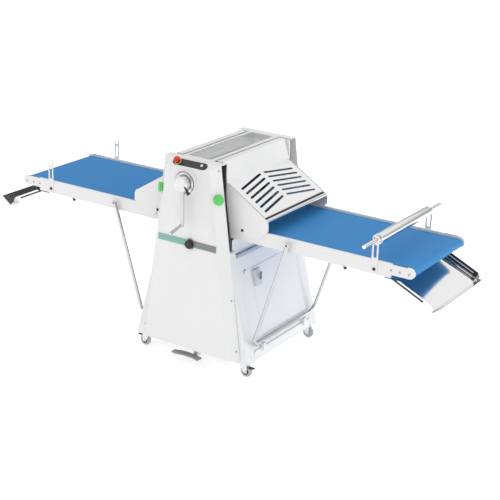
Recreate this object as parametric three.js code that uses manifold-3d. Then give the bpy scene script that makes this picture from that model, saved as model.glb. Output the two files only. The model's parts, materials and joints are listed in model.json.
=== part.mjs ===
// A floor-standing reversible dough sheeter: two belt tables either side of a pair of sheeting rollers.
// Millimetres, +Z up. X runs along the tables, Y across the belts, and the near side is -Y.
// Pieces are drawn for the right (+X) and near (-Y) side, and mirrored where the machine is symmetric.

import * as THREE from 'three';
import { mergeVertices } from 'three/addons/utils/BufferGeometryUtils.js';
import Module from 'manifold-3d';

const wasm = await Module();
wasm.setup();

// ---- Driving dimensions -------------------------------------------------------------------------

const GAP = 0.3;                 // air between pieces that rest on each other
const ROUND = 28;                // sides of a full-size round

const MACHINE_HEIGHT = 1265;     // floor to the top of the heads
const BELT_HEIGHT = 890;         // floor to the working face of the belts
const BELT_WIDTH = 610;
const BELT_THICKNESS = 2;
const TABLE_REACH = 1388;        // roller plane to the outer end of a table

const ROLLER_RADIUS = 30;        // both sheeting rollers
const ROLLER_GAP = 12;           // nip set at rest
const GAP_CLOSING = 10;          // nip travel downwards from rest
const GAP_OPENING = 23;          // nip travel upwards from rest
const JOURNAL_RADIUS = 14;
const JOURNAL_CLEARANCE = 0.4;
const DRIVE_ROLLER_RADIUS = 22;  // rollers inside the belt loops
const DRIVE_ROLLER_SPACE = 10;   // air between a belt and the sheeting roller
const END_ROLLER_INSET = 32;     // table end to the end roller's axis

const BELT_TO_RAIL = 3;          // air beside the belt
const RAIL_DEPTH = 14;
const RAIL_HEIGHT = 81;
const RAIL_LIP = 13;             // how far the rail stands above the belt
const RAIL_START = 210;          // where the rail reaches its full height
const TONGUE_HEIGHT = 44;        // rail height at the drive roller
const END_BRACKET_LENGTH = 140;
const END_BRACKET_HEIGHT = 60;
const BED_THICKNESS = 6;

const WING_CLEARANCE = 4;        // rail to guard wing, and guard wing to bearing plate
const GUARD_SHEET = 3;
const GUARD_HINGE_X = 130;
const GUARD_HINGE_DROP = 15;     // top of the heads down to the guard's hinge
const GUARD_FLANGE_X = 119;      // inner edge of the guard's top flange
const GUARD_TOP_X = 162;
const GUARD_CREASE_X = 194;
const GUARD_CREASE_DROP = 117;   // top of the heads down to the crease in the guard
const GUARD_EDGE_X = 447;
const GUARD_EDGE_RISE = 100;     // belt face up to the guard's lower edge
const GUARD_ROD_RADIUS = 12;
const GUARD_SLOTS = 6;
const GUARD_SLOT_WIDTH = 15;
const SLOT_MARGIN = 26;          // crease to the first slot, along the guard
const SLOT_LEAN = 46;            // how far a slot runs down the guard towards its outer end
const SLOT_FOOT = 36;            // last slot's lower end to the guard's lower edge
const SLOT_BRIDGE = 48;          // between the two halves of a row, centre to centre
const SLOT_END = 37;             // belt edge to the slot's outer end
const WING_HEEL_X = 354;         // lowest point of the guard's side wings
const WING_HEEL_DROP = 44;       // belt face down to it
const WING_BACK_X = 206;         // edge of a wing beside the head
const HINGE_PIN_RADIUS = 5;

const PLATE_THICKNESS = 10;      // bearing plates
const PLATE_HALF = 190;

const HEAD_DEPTH = 103;          // bearing plate to the flat front of a head cover
const HEAD_TOP_HALF = 145;       // half the front's width at the top
const HEAD_SLOPE = 0.139;        // how much the half width grows for each millimetre down
const HEAD_BEVEL = 50;
const HEAD_BOTTOM = 112;
const COVER_WALL = 3;
const FACET_DEPTH = 48;          // sloping control facet at the top of the front
const FACET_HEIGHT = 39;
const DECK_HALF_WIDTH = 108;
const DECK_THICKNESS = 3;
const TRAY_HALF_WIDTH = 74;
const TRAY_DEPTH = 46;
const TRAY_WALL = 2;
const TRAY_RIM = 6;

const LEG_DROP = 145;            // belt face down to the top of the leg frames
const LEG_BOTTOM = 90;
const LEG_DEPTH = 80;
const LEG_TOP_HALF = 244;
const LEG_SLOPE = 0.257;
const LEG_WALL = 4;
const CABINET_BOTTOM = 152;
const CABINET_DROP = 45;         // top of the leg frames down to the top of the cabinet
const CABINET_WALL = 3;
const DOOR_NEAR_INSET = 117;     // inner face of the near leg frame to the door
const DOOR_FAR_INSET = 16;
const DOOR_BOTTOM_INSET = 60;
const DOOR_TOP_INSET = 88;
const DOOR_THICKNESS = 4;
const DOOR_GAP = 2;
const LATCH_WIDTH = 68;
const LATCH_HEIGHT = 96;
const LATCH_DEPTH = 14;
const BEAM_WIDTH = 32;
const BEAM_INSET = 8;            // outer edge of a leg frame's foot to the base beam
const HOOK_WIDTH = 24;           // hooks on the base that hold a strut's bar
const HOOK_SPACING = 460;

const STRUT_RADIUS = 11;
const STRUT_BOSS_X = 617;
const STRUT_BOSS_DROP = 17;      // belt face down to the strut's pivot
const STRUT_FOOT_RISE = 41;      // cabinet's floor up to the strut's bar
const STRUT_FOOT_OUT = 17;       // cabinet's side to the strut's bar
const STRUT_BOSS_RADIUS = 20;
const STRUT_BEND = 45;
const STRUT_SIDES = 12;

const FORK_INSET = 238;          // table end to the rolling pin
const FORK_WIDTH = 38;
const FORK_RISE = 25;            // rolling pin's axis to the top of the forks
const FORK_THICKNESS = 4;
const PIN_AXLE_RADIUS = 11;
const PIN_HANDLE = 155;          // belt edge to the end of the axle
const PIN_SLEEVE_RADIUS = 29;
const PIN_RISE = 125;            // belt face up to the rolling pin's axis
const PIN_CLEARANCE = 0.8;

const LEVER_DROP = 117;
const DIAL_RADIUS = 66;
const DIAL_DEPTH = 28;
const HUB_RADIUS = 47;
const HUB_DEPTH = 44;
const LEVER_LENGTH = 246;
const LEVER_RADIUS = 13;
const GRIP_RADIUS = 9;
const GRIP_LENGTH = 112;
const GRIP_DROP = 23;

const BAND_RISE = 16;            // top of the leg frames up to the trim band
const BAND_HEIGHT = 39;
const BAND_THICKNESS = 2.5;
const BAND_KNOB_X = 25;
const BAND_KNOB_RADIUS = 25;
const BAND_KNOB_DEPTH = 22;

const CASTER_INSET = 60;         // outer edge of a leg frame's foot to the swivel
const WHEEL_RADIUS = 35;
const WHEEL_WIDTH = 24;
const CASTER_TRAIL = 22;
const CASTER_PLATE = 4;
const CASTER_CHEEK = 3;
const CASTER_AXLE = 6;

const PANEL_HALF = 96;           // middle of the control panel to the centre of its round end
const PANEL_RADIUS = 22;
const PANEL_THICKNESS = 3;
const ESTOP_X = -84;
const ESTOP_TRAVEL = 6;
const START_X = 84;
const START_TRAVEL = 3;
const RUN_BUTTON_DROP = 193;

const YOKE_PLATE = 11;           // end plates of the yoke that carries the upper roller
const YOKE_HALF = 38;
const YOKE_RISE = 50;            // upper roller's crown to the top of the yoke
const YOKE_BEAM = 24;
const GUIDE_HALF = 20;           // guide blocks that run in the bearing plates

const CHUTE_TOP_INSET = 188;     // catch tray: from the table's end back to its upper edge
const CHUTE_TOP_DROP = 84;       // and from the belt face down to it
const CHUTE_END_REACH = 101;     // from the table's end out to the foot of the lip
const CHUTE_END_DROP = 218;
const CHUTE_LIP_REACH = 175;
const CHUTE_LIP_DROP = 162;
const CHUTE_WALL_HEIGHT = 48;
const CHUTE_SHEET = 3;
const CHUTE_LIP_OVERHANG = 41;

const MOTOR_RADIUS = 85;
const MOTOR_Z = 330;
const PEDAL_X = 34;
const PEDAL_Z = 62;
const PEDAL_THICKNESS = 8;

// ---- Values that follow -------------------------------------------------------------------------

const BELT_HALF = BELT_WIDTH / 2;
const LOOP_RADIUS = DRIVE_ROLLER_RADIUS + BELT_THICKNESS + GAP;
const LOOP_Z = BELT_HEIGHT - LOOP_RADIUS;
const DRIVE_X = ROLLER_RADIUS + DRIVE_ROLLER_SPACE + LOOP_RADIUS;
const END_ROLLER_X = TABLE_REACH - END_ROLLER_INSET;
const RAIL_IN = BELT_HALF + BELT_TO_RAIL;
const RAIL_OUT = RAIL_IN + RAIL_DEPTH;
const RAIL_TOP = BELT_HEIGHT + RAIL_LIP;
const RAIL_BOTTOM = RAIL_TOP - RAIL_HEIGHT;
const BRACKET_START = TABLE_REACH - END_BRACKET_LENGTH;
const GUARD_HINGE_Z = MACHINE_HEIGHT - GUARD_HINGE_DROP;
const GUARD_CREASE_Z = MACHINE_HEIGHT - GUARD_CREASE_DROP;
const GUARD_EDGE_Z = BELT_HEIGHT + GUARD_EDGE_RISE;
const WING_BOTTOM = BELT_HEIGHT - WING_HEEL_DROP;
const WING_IN = RAIL_OUT + WING_CLEARANCE;
const WING_OUT = WING_IN + GUARD_SHEET;
const PLATE_IN = WING_OUT + WING_CLEARANCE;
const PLATE_OUT = PLATE_IN + PLATE_THICKNESS;
const LEG_TOP = BELT_HEIGHT - LEG_DROP;
const LEG_INNER_Y = RAIL_IN + WING_CLEARANCE;
const LEG_OUTER_Y = LEG_INNER_Y + LEG_DEPTH;
const PLATE_BOTTOM = LEG_TOP + 3;
const PLATE_TOP = MACHINE_HEIGHT - 6;
const HEAD_FACE_Y = PLATE_OUT + HEAD_DEPTH;
const DECK_HALF_LENGTH = PLATE_OUT + 3;
const TRAY_HALF_LENGTH = PLATE_OUT - 21;
const LOWER_ROLLER_Z = BELT_HEIGHT - ROLLER_RADIUS;
const UPPER_ROLLER_Z = BELT_HEIGHT + ROLLER_GAP + ROLLER_RADIUS;
const STRUT_Y = WING_OUT + WING_CLEARANCE + STRUT_RADIUS;
const LEVER_HEIGHT = MACHINE_HEIGHT - LEVER_DROP;
const RUN_BUTTON_Z = MACHINE_HEIGHT - RUN_BUTTON_DROP;
const DIAL_FRONT = HEAD_FACE_Y + DIAL_DEPTH;
const HUB_FRONT = DIAL_FRONT + GAP + HUB_DEPTH;
const LEVER_Y = HUB_FRONT - HUB_DEPTH / 2;
const GRIP_TILT = Math.atan((GRIP_DROP + 2) / (GRIP_LENGTH + 8));
const GRIP_END = LEVER_Y + GRIP_LENGTH;
const FRONT_REACH = GRIP_END + GRIP_RADIUS * Math.sin(GRIP_TILT);
const FORK_X = TABLE_REACH - FORK_INSET;
const PIN_HEIGHT = BELT_HEIGHT + PIN_RISE;
const FORK_TOP = PIN_HEIGHT + FORK_RISE;
const PIN_AXLE_HALF = BELT_HALF + PIN_HANDLE;
const PIN_SLEEVE_HALF = BELT_HALF - 5;
const REAR_REACH = PIN_AXLE_HALF;
const TRAY_TOP = MACHINE_HEIGHT + GAP + TRAY_WALL;
const YOKE_TOP = UPPER_ROLLER_Z + ROLLER_RADIUS + YOKE_RISE;
const YOKE_IN = RAIL_IN + 1;
const ROLLER_HALF = YOKE_IN - 1;
const CHUTE_HALF = BELT_HALF - 2;
const CHUTE_LIP_HALF = BELT_HALF + CHUTE_LIP_OVERHANG;
const CHUTE_TOP = [TABLE_REACH - CHUTE_TOP_INSET, BELT_HEIGHT - CHUTE_TOP_DROP];
const CHUTE_END = [TABLE_REACH + CHUTE_END_REACH, BELT_HEIGHT - CHUTE_END_DROP];
const CHUTE_LIP = [TABLE_REACH + CHUTE_LIP_REACH, BELT_HEIGHT - CHUTE_LIP_DROP];
const CABINET_HALF = LEG_INNER_Y - 2 * GAP;
const CABINET_TOP = LEG_TOP - CABINET_DROP;
const DOOR_NEAR_Y = -LEG_INNER_Y + DOOR_NEAR_INSET;
const DOOR_FAR_Y = LEG_INNER_Y - DOOR_FAR_INSET;
const DOOR_BOTTOM = CABINET_BOTTOM + DOOR_BOTTOM_INSET;
const DOOR_TOP = CABINET_TOP - DOOR_TOP_INSET;
const FOOT_HALF = legHalf(LEG_BOTTOM);
const STRUT_BOSS_Z = BELT_HEIGHT - STRUT_BOSS_DROP;
const STRUT_FOOT_Z = CABINET_BOTTOM + STRUT_FOOT_RISE;
const STRUT_FOOT_X = legHalf(STRUT_FOOT_Z) + STRUT_FOOT_OUT;
const CASTER_X = FOOT_HALF - CASTER_INSET;
const CASTER_Y = (LEG_INNER_Y + LEG_OUTER_Y) / 2 + 1;
const BAND_BOTTOM = LEG_TOP + BAND_RISE;
const BAND_TOP = BAND_BOTTOM + BAND_HEIGHT;
const AXLE_X = CASTER_X + CASTER_TRAIL;
const CHEEK_IN = WHEEL_WIDTH / 2 + 3;
const CHEEK_OUT = CHEEK_IN + CASTER_CHEEK;

// Half the width of a leg frame, and of a head cover's flat front, at a height.
function legHalf(z) {
  return LEG_TOP_HALF + LEG_SLOPE * (LEG_TOP - z);
}

function headHalf(z) {
  return HEAD_TOP_HALF + HEAD_SLOPE * (MACHINE_HEIGHT - z);
}

const FINISHES = {
  white_paint: { color: 0xeceeed, roughness: 0.45, metalness: 0.0 },
  stainless: { color: 0xc9cbcd, roughness: 0.28, metalness: 1.0 },
  dark_steel: { color: 0x2a2b2d, roughness: 0.55, metalness: 0.6 },
  belt_blue: { color: 0x2f7cc4, roughness: 0.6, metalness: 0.0 },
  black_plastic: { color: 0x17181a, roughness: 0.5, metalness: 0.0 },
  green_plastic: { color: 0x2fa84a, roughness: 0.35, metalness: 0.0 },
  red_plastic: { color: 0xc81f1a, roughness: 0.35, metalness: 0.0 },
  white_plastic: { color: 0xf2f2f0, roughness: 0.4, metalness: 0.0 },
  teal_trim: { color: 0x6fb3a4, roughness: 0.45, metalness: 0.1 },
  grey_rubber: { color: 0x8e9193, roughness: 0.7, metalness: 0.0 },
  motor_grey: { color: 0x6e757c, roughness: 0.5, metalness: 0.4 },
};

// ---- Shapes -------------------------------------------------------------------------------------

// A closed mesh on shared vertices, with position only.
function closed(geometry) {
  const bare = geometry.clone();
  bare.deleteAttribute('normal');
  bare.deleteAttribute('uv');
  return mergeVertices(bare, 1e-4);
}

function solid(geometry) {
  const bare = closed(geometry);
  return new wasm.Manifold(new wasm.Mesh({
    numProp: 3,
    vertProperties: Float32Array.from(bare.attributes.position.array),
    triVerts: Uint32Array.from(bare.index.array),
  }));
}

function toGeometry(body) {
  const mesh = body.getMesh();
  const geometry = new THREE.BufferGeometry();
  geometry.setAttribute('position', new THREE.BufferAttribute(mesh.vertProperties, 3));
  geometry.setIndex(new THREE.BufferAttribute(mesh.triVerts, 1));
  geometry.computeVertexNormals();
  return geometry;
}

const join = (...parts) => toGeometry(parts.map(solid).reduce((all, part) => all.add(part)));

function cut(whole, ...parts) {
  return toGeometry(parts.map(solid).reduce((rest, part) => rest.subtract(part), solid(whole)));
}

// The same shape on the other side of the plane x = 0 or y = 0.
function mirrored(geometry, axis) {
  const copy = closed(geometry);
  copy.scale(axis === 'x' ? -1 : 1, axis === 'y' ? -1 : 1, 1);
  const index = copy.index.array;
  for (let i = 0; i < index.length; i += 3) {
    const first = index[i];
    index[i] = index[i + 1];
    index[i + 1] = first;
  }
  return copy;
}

const outline = (points) => new THREE.Shape(points.map(([a, b]) => new THREE.Vector2(a, b)));

function extrude(shape, depth, curveSegments = 6) {
  return new THREE.ExtrudeGeometry(shape, { depth, bevelEnabled: false, curveSegments });
}

// An outline in (x, y) between two heights.
function prismZ(shape, low, high) {
  return extrude(shape, high - low).translate(0, 0, low);
}

// An outline in (x, z) between two depths.
function prismY(shape, low, high) {
  return extrude(shape, high - low).rotateX(Math.PI / 2).translate(0, high, 0);
}

// An outline in (y, z) between two places along X.
function prismX(shape, low, high) {
  const turn = new THREE.Matrix4().makeBasis(
    new THREE.Vector3(0, 1, 0), new THREE.Vector3(0, 0, 1), new THREE.Vector3(1, 0, 0));
  return extrude(shape, high - low).applyMatrix4(turn).translate(low, 0, 0);
}

function box(x0, x1, y0, y1, z0, z1) {
  return new THREE.BoxGeometry(x1 - x0, y1 - y0, z1 - z0)
    .translate((x0 + x1) / 2, (y0 + y1) / 2, (z0 + z1) / 2);
}

function rodBetween(start, end, radius, sides = ROUND) {
  const from = new THREE.Vector3(...start);
  const to = new THREE.Vector3(...end);
  const turn = new THREE.Quaternion().setFromUnitVectors(
    new THREE.Vector3(0, 1, 0), to.clone().sub(from).normalize());
  const middle = from.clone().add(to).multiplyScalar(0.5);
  return new THREE.CylinderGeometry(radius, radius, from.distanceTo(to), sides)
    .applyQuaternion(turn).translate(middle.x, middle.y, middle.z);
}

const rodY = (x, z, radius, y0, y1, sides = ROUND) => rodBetween([x, y0, z], [x, y1, z], radius, sides);

// A slot outline with round ends, from one end's centre to the other's.
function slotOutline(x0, z0, x1, z1, radius) {
  const angle = Math.atan2(z1 - z0, x1 - x0);
  const shape = new THREE.Shape();
  shape.absarc(x1, z1, radius, angle - Math.PI / 2, angle + Math.PI / 2, false);
  shape.absarc(x0, z0, radius, angle + Math.PI / 2, angle + 3 * Math.PI / 2, false);
  shape.closePath();
  return shape;
}

// Widens a shape downwards: every point moves away from x = 0 by slope for each millimetre below top.
function taper(geometry, slope, top) {
  const place = geometry.attributes.position;
  for (let i = 0; i < place.count; i++) {
    const x = place.getX(i);
    place.setX(i, x + Math.sign(x) * slope * (top - place.getZ(i)));
  }
  return geometry;
}

// ---- The assembly -------------------------------------------------------------------------------

const group = new THREE.Group();
group.position.y = (FRONT_REACH - REAR_REACH) / 2;

function add(name, geometry, finish) {
  const mesh = new THREE.Mesh(geometry, new THREE.MeshStandardMaterial(FINISHES[finish]));
  mesh.name = name;
  group.add(mesh);
}

function addPair(first, second, geometry, axis, finish) {
  add(first, geometry, finish);
  add(second, mirrored(geometry, axis), finish);
}

// ---- Heads --------------------------------------------------------------------------------------

// The facet's plane, moved into the head by inset, as a tool that takes away everything above it.
function facetCutter(inset) {
  const length = Math.hypot(FACET_DEPTH, FACET_HEIGHT);
  const across = FACET_DEPTH / length;
  const rise = FACET_HEIGHT / length;
  const low = [-HEAD_FACE_Y + rise * inset, MACHINE_HEIGHT - FACET_HEIGHT - across * inset];
  const along = (distance) => [low[0] + across * distance, low[1] + rise * distance];
  const reach = 2 * length;
  const start = along(-reach);
  const end = along(2 * reach);
  const half = headHalf(0) + HEAD_BEVEL;
  return prismX(outline([start, end, [end[0], end[1] + reach], [start[0], end[1] + reach]]), -half, half);
}

function headSection(inset, backY, bottom, top) {
  const half = HEAD_TOP_HALF - inset * (Math.SQRT2 - 1);
  const outer = HEAD_TOP_HALF + HEAD_BEVEL - inset;
  const front = -HEAD_FACE_Y + inset;
  const shoulder = front + outer - half;
  const shape = outline([[-outer, backY], [-outer, shoulder], [-half, front], [half, front],
    [outer, shoulder], [outer, backY]]);
  return taper(prismZ(shape, bottom, top), HEAD_SLOPE, MACHINE_HEIGHT);
}

function headCover() {
  const backEdge = -HEAD_FACE_Y + HEAD_BEVEL + 1;
  const shell = cut(
    cut(headSection(0, backEdge, HEAD_BOTTOM, MACHINE_HEIGHT), facetCutter(0)),
    cut(headSection(COVER_WALL, 0, HEAD_BOTTOM - 10, MACHINE_HEIGHT - COVER_WALL), facetCutter(COVER_WALL)));
  const half = HEAD_TOP_HALF + HEAD_BEVEL;
  const roof = box(-half, half, backEdge - 5, -DECK_HALF_LENGTH - GAP, MACHINE_HEIGHT - COVER_WALL,
    MACHINE_HEIGHT);
  return join(shell, roof);
}

function bearingPlate() {
  const shoulder = MACHINE_HEIGHT - RUN_BUTTON_DROP;
  const foot = PLATE_HALF + (shoulder - PLATE_BOTTOM) * HEAD_SLOPE;
  const shape = outline([[-foot, PLATE_BOTTOM], [foot, PLATE_BOTTOM], [PLATE_HALF, shoulder],
    [PLATE_HALF, PLATE_TOP], [-PLATE_HALF, PLATE_TOP], [-PLATE_HALF, shoulder]]);
  const hole = (x, z, radius) => rodY(x, z, radius, -PLATE_OUT - 1, -PLATE_IN + 1);
  const slide = GUIDE_HALF + JOURNAL_CLEARANCE;
  const window = box(-slide, slide, -PLATE_OUT - 1, -PLATE_IN + 1,
    UPPER_ROLLER_Z - slide - GAP_CLOSING - 2, UPPER_ROLLER_Z + slide + GAP_OPENING + 2);
  return cut(prismY(shape, -PLATE_OUT, -PLATE_IN),
    hole(0, LOWER_ROLLER_Z, JOURNAL_RADIUS + JOURNAL_CLEARANCE),
    hole(GUARD_HINGE_X, GUARD_HINGE_Z, HINGE_PIN_RADIUS + JOURNAL_CLEARANCE),
    hole(-GUARD_HINGE_X, GUARD_HINGE_Z, HINGE_PIN_RADIUS + JOURNAL_CLEARANCE),
    window);
}

function topDeck() {
  const plate = box(-DECK_HALF_WIDTH, DECK_HALF_WIDTH, -DECK_HALF_LENGTH, DECK_HALF_LENGTH,
    MACHINE_HEIGHT - DECK_THICKNESS, MACHINE_HEIGHT);
  const room = TRAY_WALL + GAP;
  const opening = box(-TRAY_HALF_WIDTH - room, TRAY_HALF_WIDTH + room, -TRAY_HALF_LENGTH - room,
    TRAY_HALF_LENGTH + room, PLATE_TOP, MACHINE_HEIGHT + 1);
  return cut(plate, opening);
}

function topTray() {
  const rim = box(-TRAY_HALF_WIDTH - TRAY_RIM, TRAY_HALF_WIDTH + TRAY_RIM, -TRAY_HALF_LENGTH - TRAY_RIM,
    TRAY_HALF_LENGTH + TRAY_RIM, MACHINE_HEIGHT + GAP, TRAY_TOP);
  const pan = box(-TRAY_HALF_WIDTH - TRAY_WALL, TRAY_HALF_WIDTH + TRAY_WALL, -TRAY_HALF_LENGTH - TRAY_WALL,
    TRAY_HALF_LENGTH + TRAY_WALL, TRAY_TOP - TRAY_DEPTH, TRAY_TOP);
  const hollow = box(-TRAY_HALF_WIDTH, TRAY_HALF_WIDTH, -TRAY_HALF_LENGTH, TRAY_HALF_LENGTH,
    TRAY_TOP - TRAY_DEPTH + TRAY_WALL, TRAY_TOP + 1);
  return cut(join(rim, pan), hollow);
}

function nearHeadCover() {
  const boss = rodY(0, LEVER_HEIGHT, DIAL_RADIUS, -DIAL_FRONT, -HEAD_FACE_Y + 1, 36);
  return join(headCover(), boss);
}

add('near_head_cover', nearHeadCover(), 'white_paint');
add('far_head_cover', mirrored(headCover(), 'y'), 'white_paint');
add('near_bearing_plate', bearingPlate(), 'dark_steel');
add('far_bearing_plate', mirrored(bearingPlate(), 'y'), 'white_paint');
add('top_deck', topDeck(), 'white_paint');
add('top_flour_tray', topTray(), 'stainless');

// ---- Controls on the near head ------------------------------------------------------------------

// Turns a piece drawn on the facet's own plane, with its z axis out of the facet, into its place.
function ontoFacet(geometry) {
  const angle = Math.atan2(FACET_HEIGHT, FACET_DEPTH);
  return geometry.rotateX(angle)
    .translate(0, -HEAD_FACE_Y + FACET_DEPTH / 2, MACHINE_HEIGHT - FACET_HEIGHT / 2);
}

// A piece drawn on the right bevel's own plane, with its z axis out of the bevel, at a height.
function ontoBevel(geometry, height) {
  const across = new THREE.Vector3(1, 1, 0).normalize();
  const up = new THREE.Vector3(-HEAD_SLOPE, 0, 1).normalize();
  const out = new THREE.Vector3().crossVectors(across, up).normalize();
  const upright = new THREE.Vector3().crossVectors(out, across);
  const turn = new THREE.Matrix4().makeBasis(across, upright, out);
  return geometry.applyMatrix4(turn)
    .translate(headHalf(height) + HEAD_BEVEL / 2, -HEAD_FACE_Y + HEAD_BEVEL / 2, height);
}

// A turned piece on the z axis, from (radius, height) points that start and end on the axis.
function turned(points, sides = ROUND) {
  return new THREE.LatheGeometry(points.map(([r, z]) => new THREE.Vector2(r, z)), sides).rotateX(Math.PI / 2);
}

const panelFace = PANEL_THICKNESS + GAP;
function controlPanel() {
  return ontoFacet(prismZ(slotOutline(-PANEL_HALF, 0, PANEL_HALF, 0, PANEL_RADIUS), GAP, panelFace));
}

// The mushroom head stands clear of the panel by its own travel.
function emergencyStop() {
  const foot = panelFace + ESTOP_TRAVEL + 1;
  const rim = foot + 7;
  return ontoFacet(turned([[0, foot], [12, foot], [12, rim], [20, rim], [20, rim + 8], [15, rim + 13],
    [0, rim + 14]], 20).translate(ESTOP_X, 0, 0));
}

function startButton() {
  const foot = panelFace + START_TRAVEL + 0.5;
  const top = panelFace + 3 * START_TRAVEL;
  const button = turned([[0, foot], [9, foot], [9, top - 2], [7, top], [0, top]], 16);
  return ontoFacet(button.translate(START_X, 0, 0));
}

function runButton() {
  return ontoBevel(turned([[0, 5], [28, 5], [30, 9], [30, 16], [24, 22], [0, 25]], 20), RUN_BUTTON_Z);
}

function gapLever() {
  const hub = rodY(0, LEVER_HEIGHT, HUB_RADIUS, -HUB_FRONT, -DIAL_FRONT - GAP, 36);
  const elbow = LEVER_HEIGHT - LEVER_LENGTH;
  const foot = [0, -LEVER_Y, elbow - LEVER_RADIUS / 2];
  const arm = rodBetween([0, -LEVER_Y, LEVER_HEIGHT], foot, LEVER_RADIUS, 16);
  const grip = rodBetween([0, -LEVER_Y + 8, elbow + 2], [0, -GRIP_END, elbow - GRIP_DROP], GRIP_RADIUS, 16);
  return join(hub, arm, grip);
}

function trimBand() {
  const half = headHalf(BAND_TOP) - 4;
  return box(-half, half, -HEAD_FACE_Y - GAP - BAND_THICKNESS, -HEAD_FACE_Y - GAP, BAND_BOTTOM, BAND_TOP);
}

function speedKnob() {
  const back = HEAD_FACE_Y + 2 * GAP + BAND_THICKNESS;
  const z = (BAND_BOTTOM + BAND_TOP) / 2 - 2;
  return rodY(BAND_KNOB_X, z, BAND_KNOB_RADIUS, -back - BAND_KNOB_DEPTH, -back, 24);
}

add('control_panel', controlPanel(), 'black_plastic');
add('emergency_stop_button', emergencyStop(), 'red_plastic');
add('start_button', startButton(), 'white_plastic');
addPair('right_run_button', 'left_run_button', runButton(), 'x', 'green_plastic');
add('gap_lever', gapLever(), 'stainless');
add('trim_band', trimBand(), 'teal_trim');
add('speed_knob', speedKnob(), 'black_plastic');

// ---- Sheeting rollers ---------------------------------------------------------------------------

function sheetingRoller(height, journalEnd) {
  return join(rodY(0, height, ROLLER_RADIUS, -ROLLER_HALF, ROLLER_HALF),
    rodY(0, height, JOURNAL_RADIUS, -journalEnd, journalEnd));
}

function rollerYoke() {
  const side = (sign) => {
    const near = sign * YOKE_IN;
    const far = sign * (YOKE_IN + YOKE_PLATE);
    const plate = box(-YOKE_HALF, YOKE_HALF, Math.min(near, far), Math.max(near, far),
      UPPER_ROLLER_Z - 24, YOKE_TOP);
    const guideEnd = sign * (PLATE_OUT - 2);
    const guide = box(-GUIDE_HALF, GUIDE_HALF, Math.min(near, guideEnd), Math.max(near, guideEnd),
      UPPER_ROLLER_Z - GUIDE_HALF, UPPER_ROLLER_Z + GUIDE_HALF);
    const bore = rodY(0, UPPER_ROLLER_Z, JOURNAL_RADIUS + JOURNAL_CLEARANCE, -PLATE_OUT, PLATE_OUT);
    return cut(join(plate, guide), bore);
  };
  const beam = box(-YOKE_HALF, YOKE_HALF, -YOKE_IN - 1, YOKE_IN + 1, YOKE_TOP - YOKE_BEAM, YOKE_TOP);
  return join(beam, side(-1), side(1));
}

// A blade that leans on a roller, from its foot to a tip just clear of the roller's face.
function scraperBlade(foot, tip, thickness) {
  const [x0, z0] = foot;
  const [x1, z1] = tip;
  const length = Math.hypot(x1 - x0, z1 - z0);
  const nx = -(z1 - z0) / length * thickness;
  const nz = (x1 - x0) / length * thickness;
  return prismY(outline([[x0, z0], [x1, z1], [x0 + nx, z0 + nz]]), -BELT_HALF, BELT_HALF);
}

add('upper_roller', sheetingRoller(UPPER_ROLLER_Z, PLATE_IN), 'stainless');
add('lower_roller', sheetingRoller(LOWER_ROLLER_Z, PLATE_OUT - 2), 'stainless');
add('roller_yoke', rollerYoke(), 'dark_steel');
const bladeClear = ROLLER_RADIUS + 0.6;
add('roller_scraper', scraperBlade([YOKE_HALF, YOKE_TOP - YOKE_BEAM - GAP],
  [bladeClear * Math.cos(0.9), UPPER_ROLLER_Z + bladeClear * Math.sin(0.9)], 14), 'stainless');

// ---- Guards over the dough path -----------------------------------------------------------------

function guardSlots() {
  const slope = new THREE.Vector2(GUARD_EDGE_X - GUARD_CREASE_X, GUARD_EDGE_Z - GUARD_CREASE_Z);
  const length = slope.length();
  slope.normalize();
  const along = new THREE.Vector3(slope.x, 0, slope.y);
  const across = new THREE.Vector3(0, 1, 0);
  const out = new THREE.Vector3().crossVectors(along, across).normalize();
  const turn = new THREE.Matrix4().makeBasis(along, across, out);
  const pitch = (length - SLOT_MARGIN - SLOT_LEAN - SLOT_FOOT) / (GUARD_SLOTS - 1);
  const depth = 10 * GUARD_SHEET;
  const slots = [];
  for (let row = 0; row < GUARD_SLOTS; row++) {
    const down = SLOT_MARGIN + row * pitch;
    for (const side of [-1, 1]) {
      const shape = slotOutline(down, side * SLOT_BRIDGE / 2, down + SLOT_LEAN,
        side * (BELT_HALF - SLOT_END), GUARD_SLOT_WIDTH / 2);
      slots.push(extrude(shape, depth, 3).translate(0, 0, -depth / 2).applyMatrix4(turn)
        .translate(GUARD_CREASE_X, 0, GUARD_CREASE_Z));
    }
  }
  return slots;
}

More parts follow.
